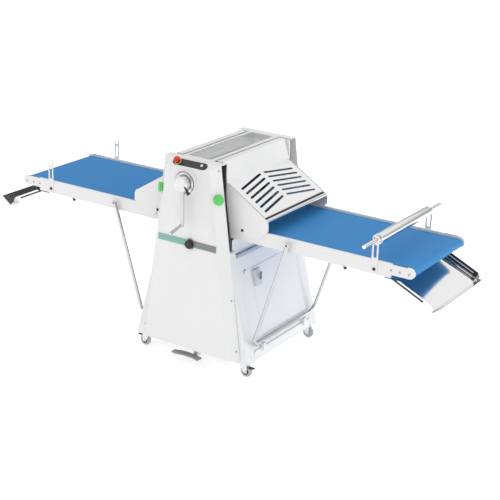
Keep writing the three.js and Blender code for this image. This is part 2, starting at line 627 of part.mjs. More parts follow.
function guard() {
  const t = GUARD_SHEET;
  const shell = outline([[GUARD_FLANGE_X, MACHINE_HEIGHT], [GUARD_TOP_X, MACHINE_HEIGHT],
    [GUARD_CREASE_X, GUARD_CREASE_Z], [GUARD_EDGE_X, GUARD_EDGE_Z],
    [GUARD_EDGE_X - t / 2, GUARD_EDGE_Z - t], [GUARD_CREASE_X - t, GUARD_CREASE_Z - t / 2],
    [GUARD_TOP_X - t, MACHINE_HEIGHT - t], [GUARD_FLANGE_X, MACHINE_HEIGHT - t]]);
  const panel = cut(prismY(shell, -WING_OUT, WING_OUT), ...guardSlots());
  const side = new THREE.Shape();
  side.moveTo(GUARD_FLANGE_X, MACHINE_HEIGHT);
  side.lineTo(GUARD_TOP_X, MACHINE_HEIGHT);
  side.lineTo(GUARD_CREASE_X, GUARD_CREASE_Z);
  const wingX = GUARD_EDGE_X + 2.5 * GUARD_ROD_RADIUS;
  side.lineTo(GUARD_EDGE_X + GUARD_ROD_RADIUS, GUARD_EDGE_Z - 8);
  side.quadraticCurveTo(wingX, GUARD_EDGE_Z - 20, wingX, GUARD_EDGE_Z - 42);
  side.lineTo(wingX, RAIL_TOP + 14);
  side.quadraticCurveTo(WING_HEEL_X + 66, WING_BOTTOM + 6, WING_HEEL_X, WING_BOTTOM);
  side.quadraticCurveTo(WING_HEEL_X - 36, WING_BOTTOM, WING_HEEL_X - 40, WING_BOTTOM + 26);
  side.lineTo(WING_BACK_X + 18, WING_BOTTOM + 38);
  side.lineTo(WING_BACK_X, WING_BOTTOM + 80);
  side.lineTo(WING_BACK_X - 18, RUN_BUTTON_Z - 16);
  side.lineTo(PLATE_HALF - 40, MACHINE_HEIGHT - 75);
  side.lineTo(GUARD_FLANGE_X, MACHINE_HEIGHT - 29);
  side.closePath();
  const wing = prismY(side, -WING_OUT, -WING_IN);
  const pin = rodY(GUARD_HINGE_X, GUARD_HINGE_Z, HINGE_PIN_RADIUS, -PLATE_OUT + 2, -WING_IN, 16);
  const nearEnd = join(wing, pin);
  return join(panel, nearEnd, mirrored(nearEnd, 'y'));
}

// The rod that edges the guard, or the room that it needs.
function guardRod(room) {
  const x = GUARD_EDGE_X + GUARD_ROD_RADIUS + 2.5;
  const z = GUARD_EDGE_Z - GUARD_ROD_RADIUS - 7;
  const end = WING_IN - 2 * GAP + room;
  return rodY(x, z, GUARD_ROD_RADIUS + room, -end, end, 20);
}

addPair('right_guard', 'left_guard', cut(guard(), guardRod(GAP)), 'x', 'white_paint');
addPair('right_guard_rod', 'left_guard_rod', guardRod(0), 'x', 'stainless');

// ---- Belt tables --------------------------------------------------------------------------------

function rail() {
  const web = new THREE.Shape();
  web.moveTo(DRIVE_X, LOOP_Z + TONGUE_HEIGHT / 2);
  web.absarc(DRIVE_X, LOOP_Z, TONGUE_HEIGHT / 2, Math.PI / 2, 3 * Math.PI / 2, false);
  web.lineTo(RAIL_START, RAIL_BOTTOM);
  web.lineTo(BRACKET_START, RAIL_BOTTOM);
  web.lineTo(BRACKET_START, RAIL_TOP);
  web.lineTo(RAIL_START, RAIL_TOP);
  web.closePath();
  const bar = prismY(web, -RAIL_OUT, -RAIL_IN);
  const endCentre = RAIL_TOP - 2 - END_BRACKET_HEIGHT / 2;
  const end = prismY(slotOutline(BRACKET_START, endCentre, TABLE_REACH - END_BRACKET_HEIGHT / 2, endCentre,
    END_BRACKET_HEIGHT / 2), -RAIL_OUT, -RAIL_IN);
  const bore = JOURNAL_RADIUS / 2 + JOURNAL_CLEARANCE;
  const journal = (x) => rodY(x, LOOP_Z, bore, -RAIL_OUT - 1, -RAIL_IN + 1, 16);
  return cut(join(bar, end), journal(DRIVE_X), journal(END_ROLLER_X));
}

function beltLoop() {
  const loop = slotOutline(DRIVE_X, LOOP_Z, END_ROLLER_X, LOOP_Z, LOOP_RADIUS);
  const inside = slotOutline(DRIVE_X, LOOP_Z, END_ROLLER_X, LOOP_Z, LOOP_RADIUS - BELT_THICKNESS);
  loop.holes.push(inside);
  return prismY(loop, -BELT_HALF, BELT_HALF);
}

function beltRoller(x) {
  const end = RAIL_OUT - 1;
  return join(rodY(x, LOOP_Z, DRIVE_ROLLER_RADIUS, -BELT_HALF, BELT_HALF, 24),
    rodY(x, LOOP_Z, JOURNAL_RADIUS / 2, -end, end, 16));
}

function strut() {
  const reach = Math.hypot(STRUT_BOSS_X - STRUT_FOOT_X, STRUT_BOSS_Z - STRUT_FOOT_Z);
  const down = [(STRUT_FOOT_X - STRUT_BOSS_X) / reach, (STRUT_FOOT_Z - STRUT_BOSS_Z) / reach];
  const at = (distance, y) => new THREE.Vector3(
    STRUT_BOSS_X + down[0] * distance, y, STRUT_BOSS_Z + down[1] * distance);
  const rod = (from, to) => rodBetween(from.toArray(), to.toArray(), STRUT_RADIUS, STRUT_SIDES);
  const straight = reach - STRUT_BEND;
  const leg = rod(at(0, -STRUT_Y), at(straight + 1, -STRUT_Y));
  const foot = rod(at(reach, -STRUT_Y + STRUT_BEND - 1), at(reach, STRUT_Y - STRUT_BEND + 1));
  const section = new THREE.Shape();
  section.absarc(0, 0, STRUT_RADIUS, 0, 2 * Math.PI, false);
  const bend = new THREE.QuadraticBezierCurve3(at(straight, -STRUT_Y), at(reach, -STRUT_Y),
    at(reach, -STRUT_Y + STRUT_BEND));
  const elbow = new THREE.ExtrudeGeometry(section,
    { steps: 6, curveSegments: STRUT_SIDES / 2, extrudePath: bend });
  const boss = rodY(STRUT_BOSS_X, STRUT_BOSS_Z, STRUT_BOSS_RADIUS, -STRUT_Y - 4, -RAIL_OUT - GAP, 20);
  return join(foot, leg, elbow, boss, ...[leg, elbow, boss].map((part) => mirrored(part, 'y')));
}

// A holder for the rolling pin: an open notch at the top and a closed slot below it.
function pinFork() {
  const half = FORK_WIDTH / 2;
  const shape = new THREE.Shape();
  const notchHalf = PIN_AXLE_RADIUS + PIN_CLEARANCE;
  shape.moveTo(FORK_X - half, RAIL_BOTTOM + 8);
  shape.lineTo(FORK_X + half, RAIL_BOTTOM + 8);
  shape.lineTo(FORK_X + half, FORK_TOP - 8);
  shape.lineTo(FORK_X + half - 4, FORK_TOP);
  shape.lineTo(FORK_X + notchHalf, FORK_TOP);
  shape.lineTo(FORK_X + notchHalf, PIN_HEIGHT);
  shape.absarc(FORK_X, PIN_HEIGHT, notchHalf, 0, -Math.PI, true);
  shape.lineTo(FORK_X - notchHalf, FORK_TOP);
  shape.lineTo(FORK_X - half + 4, FORK_TOP);
  shape.lineTo(FORK_X - half, FORK_TOP - 8);
  shape.closePath();
  shape.holes.push(slotOutline(FORK_X, RAIL_TOP + 22, FORK_X, PIN_HEIGHT - notchHalf - 22, notchHalf - 2));
  return prismY(shape, -RAIL_OUT - GAP - FORK_THICKNESS, -RAIL_OUT - GAP);
}

function catchTray() {
  const [topX, topZ] = CHUTE_TOP;
  const [endX, endZ] = CHUTE_END;
  const [lipX, lipZ] = CHUTE_LIP;
  const t = CHUTE_SHEET;
  const floor = prismY(outline([[topX, topZ], [endX, endZ], [endX, endZ - t], [topX, topZ - t]]),
    -CHUTE_HALF, CHUTE_HALF);
  const wallOutline = outline([[topX, topZ - t], [endX, endZ - t],
    [endX + 4 * t, endZ + CHUTE_WALL_HEIGHT / 2], [endX, endZ + CHUTE_WALL_HEIGHT],
    [topX + 2 * CHUTE_WALL_HEIGHT, topZ + t], [topX, topZ + t]]);
  const wall = prismY(wallOutline, -CHUTE_HALF, -CHUTE_HALF + t);
  const lip = prismY(outline([[endX - t, endZ - t], [endX + t, endZ - t], [lipX, lipZ - t], [lipX, lipZ],
    [lipX - t, lipZ], [endX - t, endZ + t]]), -CHUTE_LIP_HALF, CHUTE_LIP_HALF);
  return join(floor, wall, mirrored(wall, 'y'), lip);
}

const bed = box(DRIVE_X + LOOP_RADIUS + 6, END_ROLLER_X - LOOP_RADIUS - 6, -RAIL_IN + GAP, RAIL_IN - GAP,
  BELT_HEIGHT - BELT_THICKNESS - GAP - BED_THICKNESS, BELT_HEIGHT - BELT_THICKNESS - GAP);
const rightRail = rail();
const rightFork = pinFork();
for (const [side, place] of [['right', (shape) => shape], ['left', (shape) => mirrored(shape, 'x')]]) {
  addPair(`${side}_near_rail`, `${side}_far_rail`, place(rightRail), 'y', 'white_paint');
  add(`${side}_bed`, place(bed), 'stainless');
  add(`${side}_belt`, place(beltLoop()), 'belt_blue');
  add(`${side}_drive_roller`, place(beltRoller(DRIVE_X)), 'stainless');
  add(`${side}_end_roller`, place(beltRoller(END_ROLLER_X)), 'stainless');
  add(`${side}_strut`, place(strut()), 'stainless');
  add(`${side}_catch_tray`, place(catchTray()), 'stainless');
  addPair(`${side}_near_pin_fork`, `${side}_far_pin_fork`, place(rightFork), 'y', 'white_paint');
}

const pinRod = (radius, half, sides) => rodY(FORK_X, PIN_HEIGHT, radius, -half, half, sides);
const pinBore = pinRod(PIN_AXLE_RADIUS + PIN_CLEARANCE, PIN_SLEEVE_HALF + 1, 20);
add('rolling_pin_axle', pinRod(PIN_AXLE_RADIUS, PIN_AXLE_HALF, 20), 'stainless');
add('rolling_pin_sleeve', cut(pinRod(PIN_SLEEVE_RADIUS, PIN_SLEEVE_HALF, ROUND), pinBore), 'stainless');

// ---- Stand --------------------------------------------------------------------------------------

function legFrame() {
  const outer = outline([[-FOOT_HALF, LEG_BOTTOM], [FOOT_HALF, LEG_BOTTOM], [LEG_TOP_HALF, LEG_TOP],
    [-LEG_TOP_HALF, LEG_TOP]]);
  const low = LEG_BOTTOM + LEG_WALL;
  const high = LEG_TOP - LEG_WALL;
  const inner = outline([[-legHalf(low) + LEG_WALL, low], [legHalf(low) - LEG_WALL, low],
    [legHalf(high) - LEG_WALL, high], [-legHalf(high) + LEG_WALL, high]]);
  const hollow = prismY(inner, -LEG_OUTER_Y + LEG_WALL, -LEG_INNER_Y + 1);
  return cut(prismY(outer, -LEG_OUTER_Y, -LEG_INNER_Y), hollow);
}

function nearLegFrame() {
  const bracket = box(PEDAL_X - 16, PEDAL_X + 16, -LEG_OUTER_Y, -LEG_OUTER_Y + LEG_DEPTH / 2, PEDAL_Z - 14,
    LEG_BOTTOM + 2);
  return join(legFrame(), bracket);
}

function cabinetOutline(inset, low, high) {
  return outline([[-legHalf(low) + inset, low], [legHalf(low) - inset, low],
    [legHalf(high) - inset, high], [-legHalf(high) + inset, high]]);
}

function cabinet() {
  const inner = cabinetOutline(CABINET_WALL, CABINET_BOTTOM + CABINET_WALL, CABINET_TOP - CABINET_WALL);
  const doorway = box(0, legHalf(0), DOOR_NEAR_Y - DOOR_GAP, DOOR_FAR_Y + DOOR_GAP, DOOR_BOTTOM - DOOR_GAP,
    DOOR_TOP + DOOR_GAP);
  return cut(prismY(cabinetOutline(0, CABINET_BOTTOM, CABINET_TOP), -CABINET_HALF, CABINET_HALF),
    prismY(inner, -CABINET_HALF + CABINET_WALL, CABINET_HALF - CABINET_WALL), doorway);
}

// A slab on the cabinet's slanting right face, from a depth below its surface to a height above it.
function faceSlab(y0, y1, z0, z1, below, above) {
  return prismY(outline([[legHalf(z0) - below, z0], [legHalf(z0) + above, z0], [legHalf(z1) + above, z1],
    [legHalf(z1) - below, z1]]), y0, y1);
}

// A bent treadle bar whose middle lies over its pivot, seen from above.
function footPedal() {
  const front = -LEG_OUTER_Y - 64;
  const back = -LEG_OUTER_Y - 10;
  const bar = outline([[-104, front + 4], [-72, front], [-22, front + 10], [46, front + 8], [96, front - 6],
    [98, back - 16], [60, back - 10], [PEDAL_X, back - 2], [-5, back + 2], [-55, back], [-102, back - 16]]);
  const plate = prismZ(bar, PEDAL_Z - PEDAL_THICKNESS / 2, PEDAL_Z + PEDAL_THICKNESS / 2);
  const boss = rodY(PEDAL_X, PEDAL_Z, PEDAL_THICKNESS + 1, front + 26, -LEG_OUTER_Y - 2 * GAP, 16);
  return join(plate, boss);
}

function baseFrame() {
  const beamTop = CABINET_BOTTOM - GAP;
  const beamOut = FOOT_HALF - BEAM_INSET;
  const beam = box(beamOut - BEAM_WIDTH, beamOut, -CABINET_HALF, CABINET_HALF, LEG_BOTTOM + 2, beamTop);
  const hook = (y) => box(STRUT_FOOT_X - 9, STRUT_FOOT_X + 16, y - HOOK_WIDTH / 2, y + HOOK_WIDTH / 2,
    beamTop - BEAM_WIDTH / 2, STRUT_FOOT_Z - STRUT_RADIUS - GAP);
  const cabinetSide = faceSlab(-CABINET_HALF, CABINET_HALF, beamTop, STRUT_FOOT_Z, FOOT_HALF / 4, GAP);
  const side = cut(join(beam, hook(-HOOK_SPACING / 2), hook(HOOK_SPACING / 2)), cabinetSide);
  const floorHalf = FOOT_HALF - 20;
  const floor = box(-floorHalf, floorHalf, -CABINET_HALF + 60, CABINET_HALF - 60, LEG_BOTTOM + 30,
    LEG_BOTTOM + 34);
  return join(side, mirrored(side, 'x'), floor);
}

function driveMotor() {
  const floor = CABINET_BOTTOM + CABINET_WALL;
  const foot = box(-MOTOR_RADIUS - 5, MOTOR_RADIUS + 5, -120, 60, floor + GAP, MOTOR_Z);
  return join(rodY(0, MOTOR_Z, MOTOR_RADIUS, -170, 120, 24), foot);
}

function doorLatch() {
  const near = DOOR_NEAR_Y + 8;
  const top = DOOR_TOP - 15;
  return faceSlab(near, near + LATCH_WIDTH, top - LATCH_HEIGHT, top, -GAP, LATCH_DEPTH);
}

add('near_leg_frame', nearLegFrame(), 'white_paint');
add('far_leg_frame', mirrored(legFrame(), 'y'), 'white_paint');
add('base_frame', baseFrame(), 'white_paint');
add('cabinet', cabinet(), 'white_paint');
add('cabinet_door', faceSlab(DOOR_NEAR_Y, DOOR_FAR_Y, DOOR_BOTTOM, DOOR_TOP, DOOR_THICKNESS, 0),
  'white_paint');
add('door_latch', doorLatch(), 'grey_rubber');
add('drive_motor', driveMotor(), 'motor_grey');
add('foot_pedal', footPedal(), 'dark_steel');

// ---- Casters ------------------------------------------------------------------------------------

function casterFork() {
  const top = LEG_BOTTOM - GAP;
  const plate = box(CASTER_X - 42, CASTER_X + 42, -CASTER_Y - 34, -CASTER_Y + 34, top - CASTER_PLATE, top);
  const near = -CASTER_Y - CHEEK_OUT;
  const far = -CASTER_Y + CHEEK_OUT;
  const crown = box(CASTER_X - 20, AXLE_X + 14, near, far, top - 9, top - 1);
  const cheek = (y0, y1) => prismY(outline([[CASTER_X - 18, top - 2], [AXLE_X + 13, top - 2],
    [AXLE_X + 13, WHEEL_RADIUS - 8], [AXLE_X - 12, WHEEL_RADIUS - 8]]), y0, y1);
  const axle = rodY(AXLE_X, WHEEL_RADIUS, CASTER_AXLE, near - 2, far + 2, 16);
  return join(plate, crown, cheek(near, -CASTER_Y - CHEEK_IN), cheek(-CASTER_Y + CHEEK_IN, far), axle);
}

function casterWheel() {
  const half = WHEEL_WIDTH / 2;
  const tyre = rodY(AXLE_X, WHEEL_RADIUS, WHEEL_RADIUS, -CASTER_Y - half, -CASTER_Y + half, 36);
  const bore = rodY(AXLE_X, WHEEL_RADIUS, CASTER_AXLE + JOURNAL_CLEARANCE, -CASTER_Y - WHEEL_WIDTH,
    -CASTER_Y + WHEEL_WIDTH, 16);
  return cut(tyre, bore);
}

function addCasterPiece(piece, shape, finish) {
  addPair(`near_right_caster_${piece}`, `far_right_caster_${piece}`, shape, 'y', finish);
  addPair(`near_left_caster_${piece}`, `far_left_caster_${piece}`, mirrored(shape, 'x'), 'y', finish);
}

addCasterPiece('fork', casterFork(), 'stainless');
addCasterPiece('wheel', casterWheel(), 'grey_rubber');

export default group;
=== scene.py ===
# %% [markdown]
# # A bakery dough sheeter, finished on its CAD frame
# The machine is two belt tables either side of a pair of sheeting rollers. The CAD frame gives every
# real part its place and its motion. This script adds the look: rounded sheet metal, turned rollers,
# belts, buttons, screws and their finishes. Each step first says what a piece is on the real machine.

# %% Load the frame
import json
import math

import bmesh
import bpy
from mathutils import Matrix, Quaternion, Vector
from mathutils.bvhtree import BVHTree
from mathutils.geometry import convex_hull_2d


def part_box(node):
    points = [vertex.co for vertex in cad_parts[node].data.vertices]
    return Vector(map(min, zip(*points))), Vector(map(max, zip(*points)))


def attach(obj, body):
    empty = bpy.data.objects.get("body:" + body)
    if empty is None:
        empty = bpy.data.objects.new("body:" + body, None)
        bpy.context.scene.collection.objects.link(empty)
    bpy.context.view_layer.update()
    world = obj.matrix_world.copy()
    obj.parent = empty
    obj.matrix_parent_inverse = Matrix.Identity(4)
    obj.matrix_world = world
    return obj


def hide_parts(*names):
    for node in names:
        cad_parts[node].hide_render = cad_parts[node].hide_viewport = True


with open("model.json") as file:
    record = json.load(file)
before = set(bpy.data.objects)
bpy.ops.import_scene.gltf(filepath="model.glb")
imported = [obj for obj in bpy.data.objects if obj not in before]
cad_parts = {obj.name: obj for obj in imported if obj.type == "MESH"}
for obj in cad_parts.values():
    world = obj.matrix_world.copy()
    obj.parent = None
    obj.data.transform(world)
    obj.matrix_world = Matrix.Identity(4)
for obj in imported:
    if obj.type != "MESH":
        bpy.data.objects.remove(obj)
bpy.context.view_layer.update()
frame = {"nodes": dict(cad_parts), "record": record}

belt_low, belt_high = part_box("right_belt")
MID_Y = (belt_low.y + belt_high.y) / 2       # the plane that splits the machine front to back
record = frame["record"]
BODY_OF = {node: body for body, nodes in record["behaviour"]["bodies"].items() for node in nodes}
SLOT_OF = {part["node"]: part["material_slot"] for part in record["subparts"]}

# %% [markdown]
# ## Camera, light and floor
# The machine stands in a white studio. One large soft lamp hangs overhead, a weak one stands at the
# front left and a strong, slightly warm one at the right.

# %% Camera
look_azimuth, look_elevation, look_roll = (math.radians(v) for v in (33.024, 20.230, 1.679))
look = Vector((-math.sin(look_azimuth) * math.cos(look_elevation),
               math.cos(look_azimuth) * math.cos(look_elevation), -math.sin(look_elevation)))
camera_data = bpy.data.cameras.new("camera")
camera_data.lens, camera_data.sensor_width = 88.416, 36
camera = bpy.data.objects.new("camera", camera_data)
bpy.context.collection.objects.link(camera)
camera.rotation_mode = "QUATERNION"
camera.rotation_quaternion = look.to_track_quat("-Z", "Y") @ Quaternion((0, 0, 1), look_roll)
camera.location = Vector((3.9335, MID_Y - 5.8281, 3.1991))
bpy.context.scene.camera = camera
bpy.context.scene.view_settings.view_transform = "Standard"
print("camera at", tuple(round(v, 2) for v in camera.location))


# %% [markdown]
# ## Node writers
# Finishes and the surround are written as node trees, so a tree needs a short way to be written.

# %% Node trees
# One small class writes shader and surround trees: node() makes any node, and Number does sums.
class Number:
    """A number that changes over a surface. Sums on it add Math nodes to its tree."""

    def __init__(self, tree, socket):
        self.tree, self.socket = tree, socket

    def sum(self, operation, first, second=0.0):
        made = self.tree.node("ShaderNodeMath", {"operation": operation}, {0: first, 1: second})
        return Number(self.tree, made.outputs[0])

    def __add__(self, other):
        return self.sum("ADD", self, other)

    def __radd__(self, other):
        return self.sum("ADD", other, self)

    def __sub__(self, other):
        return self.sum("SUBTRACT", self, other)

    def __rsub__(self, other):
        return self.sum("SUBTRACT", other, self)

    def __mul__(self, other):
        return self.sum("MULTIPLY", self, other)

    def __rmul__(self, other):
        return self.sum("MULTIPLY", other, self)

    def __gt__(self, other):
        return self.sum("GREATER_THAN", self, other)

    def __lt__(self, other):
        return self.sum("LESS_THAN", self, other)

    def __abs__(self):
        return self.sum("ABSOLUTE", self)

    def sine(self):
        return self.sum("SINE", self)


class Tree:
    """Wraps a node tree of any kind."""

    def __init__(self, tree):
        self.tree = tree

    def node(self, kind, settings=None, sockets=None):
        made = self.tree.nodes.new(kind)
        for key, value in (settings or {}).items():
            if key == "stops":
                for stop in range(len(value) - 2):
                    made.color_ramp.elements.new(0.5)
                for element, (position, colour) in zip(made.color_ramp.elements, value):
                    element.position, element.color = position, colour
            else:
                setattr(made, key, value)
        for key, value in (sockets or {}).items():
            self.feed(made.inputs[key], value)
        return made

    def feed(self, socket, value):
        if isinstance(value, Number):
            value = value.socket
        if isinstance(value, bpy.types.NodeSocket):
            self.tree.links.new(value, socket)
        else:
            socket.default_value = value


print("node writers ready")

# %% [markdown]
# ## Surround
# The eye sees plain white. Polished rods need something to mirror, so the surround that they see has a
# light band at the horizon between two dark ones, and is bright overhead. A black card that only
# polished metal sees hangs over the left table. The floor gives off a little light of its own.

# %% Surround, lamps and floor
world = bpy.data.worlds.new("studio")
bpy.context.scene.world = world
world.use_nodes = True
studio = Tree(world.node_tree)
direction = studio.node("ShaderNodeTexCoord").outputs["Generated"]
facing = studio.node("ShaderNodeSeparateXYZ", None, {0: direction})
height = Number(studio, facing.outputs["Z"])
rise = studio.node("ShaderNodeValToRGB", {"stops": [
    (0.0, (0.6, 0.6, 0.6, 1)), (0.48, (0.30, 0.30, 0.31, 1)), (0.53, (0.95, 0.95, 0.95, 1)),
    (0.60, (0.42, 0.42, 0.43, 1)), (0.74, (1.35, 1.35, 1.34, 1))]}, {0: height * 0.5 + 0.5})
seen = studio.node("ShaderNodeLightPath").outputs["Is Camera Ray"]
mixed = studio.node("ShaderNodeMix", {"data_type": "RGBA"}, {0: seen, 6: rise.outputs[0], 7: (1.36, 1.36,
                                                                                              1.36, 1)})
studio.feed(world.node_tree.nodes["Background"].inputs["Color"], mixed.outputs[2])
world.node_tree.nodes["Background"].inputs["Strength"].default_value = 0.74


def soft_lamp(name, place, aim, size, power, tint=(1, 1, 1)):
    data = bpy.data.lights.new(name, "AREA")
    data.shape, data.size, data.energy, data.color = "DISK", size, power, tint
    lamp = bpy.data.objects.new(name, data)
    bpy.context.collection.objects.link(lamp)
    lamp.location = place
    lamp.rotation_mode = "QUATERNION"
    lamp.rotation_quaternion = (Vector(aim) - Vector(place)).to_track_quat("-Z", "Y")
    return lamp


soft_lamp("overhead", (-0.6, -1.0, 4.5), (0, 0.1, 0.7), 4.0, 14)
soft_lamp("front_fill", (-3.5, -4.5, 2.2), (0, 0, 0.8), 3.0, 4)
soft_lamp("side_fill", (5.0, 1.6, 1.5), (0, 0, 0.5), 3.0, 62, (1, 0.97, 0.93))


def card(name, corners):
    """A black card that only polished metal can see."""
    mesh = bpy.data.meshes.new(name)
    mesh.from_pydata(corners, [], [(0, 1, 2, 3)])
    thing = bpy.data.objects.new(name, mesh)
    bpy.context.collection.objects.link(thing)
    thing.visible_camera = thing.visible_diffuse = thing.visible_shadow = False
    return mesh


card_mesh = card("left_card", [(-2.3, 0.9, 1.5), (-0.8, 1.3, 1.5), (-0.8, 1.9, 3.2), (-2.3, 1.5, 3.2)])
floor_mesh = bpy.data.meshes.new("floor")
reach = 30
floor_mesh.from_pydata([(-reach, -reach, 0), (reach, -reach, 0), (reach, reach, 0), (-reach, reach, 0)], [],
                       [(0, 1, 2, 3)])
floor = bpy.data.objects.new("floor", floor_mesh)
bpy.context.collection.objects.link(floor)

# %% [markdown]
# ## Finishes
# Every finish is a small node tree on Object coordinates, so it stays put as parts move. Powder coat
# has a fine orange peel, steel has long brush lines along the direction that it was ground, plastic
# has a moulded grain, and the belt has a fine weave with a welded joint across it.


# %% The finish kit
class Finish(Tree):
    """A material built on one Principled shader."""

    def __init__(self, name, colour, roughness, metallic=0.0, **constants):
        self.material = bpy.data.materials.new(name)
        self.material.use_nodes = True
        super().__init__(self.material.node_tree)
        self.shader = self.material.node_tree.nodes["Principled BSDF"]
        self.colour, self.roughness = (*colour, 1), roughness
        self.feed(self.shader.inputs["Base Color"], self.colour)
        self.feed(self.shader.inputs["Roughness"], roughness)
        self.feed(self.shader.inputs["Metallic"], metallic)
        for key, value in constants.items():
            self.feed(self.shader.inputs[key.replace("_", " ")], value)
        self.place = self.node("ShaderNodeTexCoord").outputs["Object"]
        axes = self.node("ShaderNodeSeparateXYZ", None, {0: self.place})
        self.x, self.y, self.z = (Number(self, axes.outputs[i]) for i in range(3))

    def noise(self, scale, detail=2.0, stretch=(1, 1, 1)):
        spot = self.node("ShaderNodeVectorMath", {"operation": "MULTIPLY"}, {0: self.place, 1: stretch})
        made = self.node("ShaderNodeTexNoise", None, {"Vector": spot.outputs[0], "Scale": scale,
                                                      "Detail": detail})
        return Number(self, made.outputs[0])

    def spread(self, value, low, high, start=0.3, end=0.7):
        made = self.node("ShaderNodeMapRange", None, {0: value, 1: start, 2: end, 3: low, 4: high})
        return Number(self, made.outputs[0])

    def mix(self, share, first, second):
        made = self.node("ShaderNodeMix", {"data_type": "RGBA"}, {0: share, 6: first, 7: second})
        return made.outputs[2]

    def shade(self, factor):
        return tuple(c * factor for c in self.colour[:3]) + (1,)

    def paint(self, colour):
        self.feed(self.shader.inputs["Base Color"], colour)

    def rough(self, value):
        self.feed(self.shader.inputs["Roughness"], value)

    def bump(self, relief, depth):
        made = self.node("ShaderNodeBump", None, {"Height": relief, "Distance": depth, "Strength": 1.0})
        self.feed(self.shader.inputs["Normal"], made.outputs[0])


def powder_coat(name, colour, roughness=0.42):
    """Baked powder: a fine orange peel, faint cloudiness and a few dull handling marks."""
    finish = Finish(name, colour, roughness)
    cloud, marks = finish.noise(5, 3), finish.noise(38, 4)
    tone = finish.mix(finish.spread(cloud, 0, 1), finish.shade(0.985), finish.colour)
    dull = finish.spread(marks, 0, 1, 0.66, 0.76)
    finish.paint(finish.mix(dull, tone, finish.shade(0.955)))
    finish.rough(finish.spread(cloud, roughness - 0.05, roughness + 0.05) + dull * 0.12)
    finish.bump(finish.noise(620, 1) + finish.noise(90, 1) * 0.6, 0.00003)
    return finish


def ground_steel(name, colour, roughness, grain, lines=0.00001):
    """Steel ground along one direction: long thin lines in colour, gloss and relief."""
    finish = Finish(name, colour, roughness, metallic=1.0)
    stroke, cloud = finish.noise(1, 3, grain), finish.noise(9, 3)
    finish.paint(finish.mix(finish.spread(stroke, 0, 1), finish.shade(0.95), finish.colour))
    finish.rough(finish.spread(stroke, roughness - 0.04, roughness + 0.05) + finish.spread(cloud, -0.02,
                                                                                           0.04))
    finish.bump(stroke, lines)
    return finish


def moulded(name, colour, roughness, grain=900, relief=0.00003, **constants):
    """Moulded plastic or rubber: a fine even grain with slightly worn gloss."""
    finish = Finish(name, colour, roughness, **constants)
    skin, worn = finish.noise(grain, 2), finish.noise(24, 3)
    finish.paint(finish.mix(finish.spread(worn, 0, 1), finish.shade(0.90), finish.colour))
    finish.rough(finish.spread(worn, roughness - 0.05, roughness + 0.08))
    finish.bump(skin, relief)
    return finish


along_x, along_y, along_z = (8, 900, 900), (900, 8, 900), (900, 900, 8)
white = powder_coat("white_powder_coat", (0.80, 0.80, 0.80))
# Dark coated steel for the yoke, caster hubs, treadles and springs. On the near bearing plate it is painted
# shade for the gap behind the near head cover.
dark_steel = powder_coat("dark_coated_steel", (0.035, 0.036, 0.04), 0.5)
pedal_grey = powder_coat("worn_grey_coat", (0.33, 0.335, 0.34), 0.45)
motor_grey = powder_coat("motor_paint", (0.16, 0.18, 0.20), 0.4)
steel_y = ground_steel("steel_ground_across", (0.86, 0.865, 0.87), 0.27, along_y, 0.000005)
steel_x = ground_steel("steel_ground_along", (0.74, 0.745, 0.75), 0.26, along_x)
steel_z = ground_steel("steel_ground_upright", (0.72, 0.725, 0.73), 0.24, along_z)
roller_chrome = ground_steel("ground_roller_face", (0.80, 0.80, 0.81), 0.12, (60, 900, 60), 0.000004)
bright_rod = ground_steel("bright_drawn_rod", (0.58, 0.58, 0.59), 0.12, along_z, 0.000004)
bright_pin = ground_steel("bright_turned_pin", (0.80, 0.80, 0.81), 0.16, (120, 900, 120), 0.000004)
tray_sheet = ground_steel("bright_tray_sheet", (0.86, 0.86, 0.865), 0.12, along_x, 0.000002)
steel_face = ground_steel("steel_ground_face", (0.70, 0.70, 0.71), 0.3, (900, 30, 30), 0.00001)
black = moulded("black_moulding", (0.018, 0.018, 0.02), 0.38)
green = moulded("green_button", (0.10, 0.62, 0.13), 0.28, relief=0.00001)
red = moulded("red_button", (0.66, 0.02, 0.015), 0.25, relief=0.00001)
yellow = moulded("yellow_collar", (0.80, 0.52, 0.03), 0.32, relief=0.00001)
white_button = moulded("white_button", (0.88, 0.88, 0.87), 0.3, relief=0.00001)
latch_grey = moulded("latch_moulding", (0.66, 0.67, 0.67), 0.42)
tyre_grey = moulded("grey_tyre", (0.46, 0.465, 0.47), 0.6, grain=400, relief=0.0001)
print(len(bpy.data.materials), "finishes")


# %% [markdown]
# ## The belt's finish
# A belt has a weave under a thin coat, and a welded joint, so it has a finish of its own.

# %% The belt's finish
# A woven polyester core shows through a thin blue coat. The joint is a straight welded line.
def belt_coat():
    finish = Finish("blue_belt", (0.030, 0.225, 0.54), 0.55, Specular_IOR_Level=0.3)
    cloud = finish.noise(4, 4)
    weave = (finish.x * 3400).sine() * (finish.y * 3400).sine()
    joint = abs(abs(finish.x) - 0.78 - finish.y * 0.12) < 0.0007
    tone = finish.mix(finish.spread(cloud, 0, 1), finish.shade(0.94), finish.colour)
    finish.paint(finish.mix(joint * 0.35, tone, finish.shade(0.6)))
    finish.rough(finish.spread(cloud, 0.5, 0.62))
    finish.bump(weave + joint * -3.0, 0.00004)
    return finish


def two_colour_trim(split):
    """The strip under the head changes colour at the speed knob."""
    finish = Finish("two_colour_trim", (0.18, 0.42, 0.36), 0.4)
    grain = finish.noise(1, 3, (10, 10, 700))
    pair = finish.mix(finish.x > split, finish.colour, (0.17, 0.20, 0.195, 1))
    finish.paint(finish.mix(finish.spread(grain, 0, 0.12), pair, (0.75, 0.78, 0.77, 1)))
    finish.rough(finish.spread(grain, 0.36, 0.46))
    finish.bump(grain, 0.00001)
    return finish


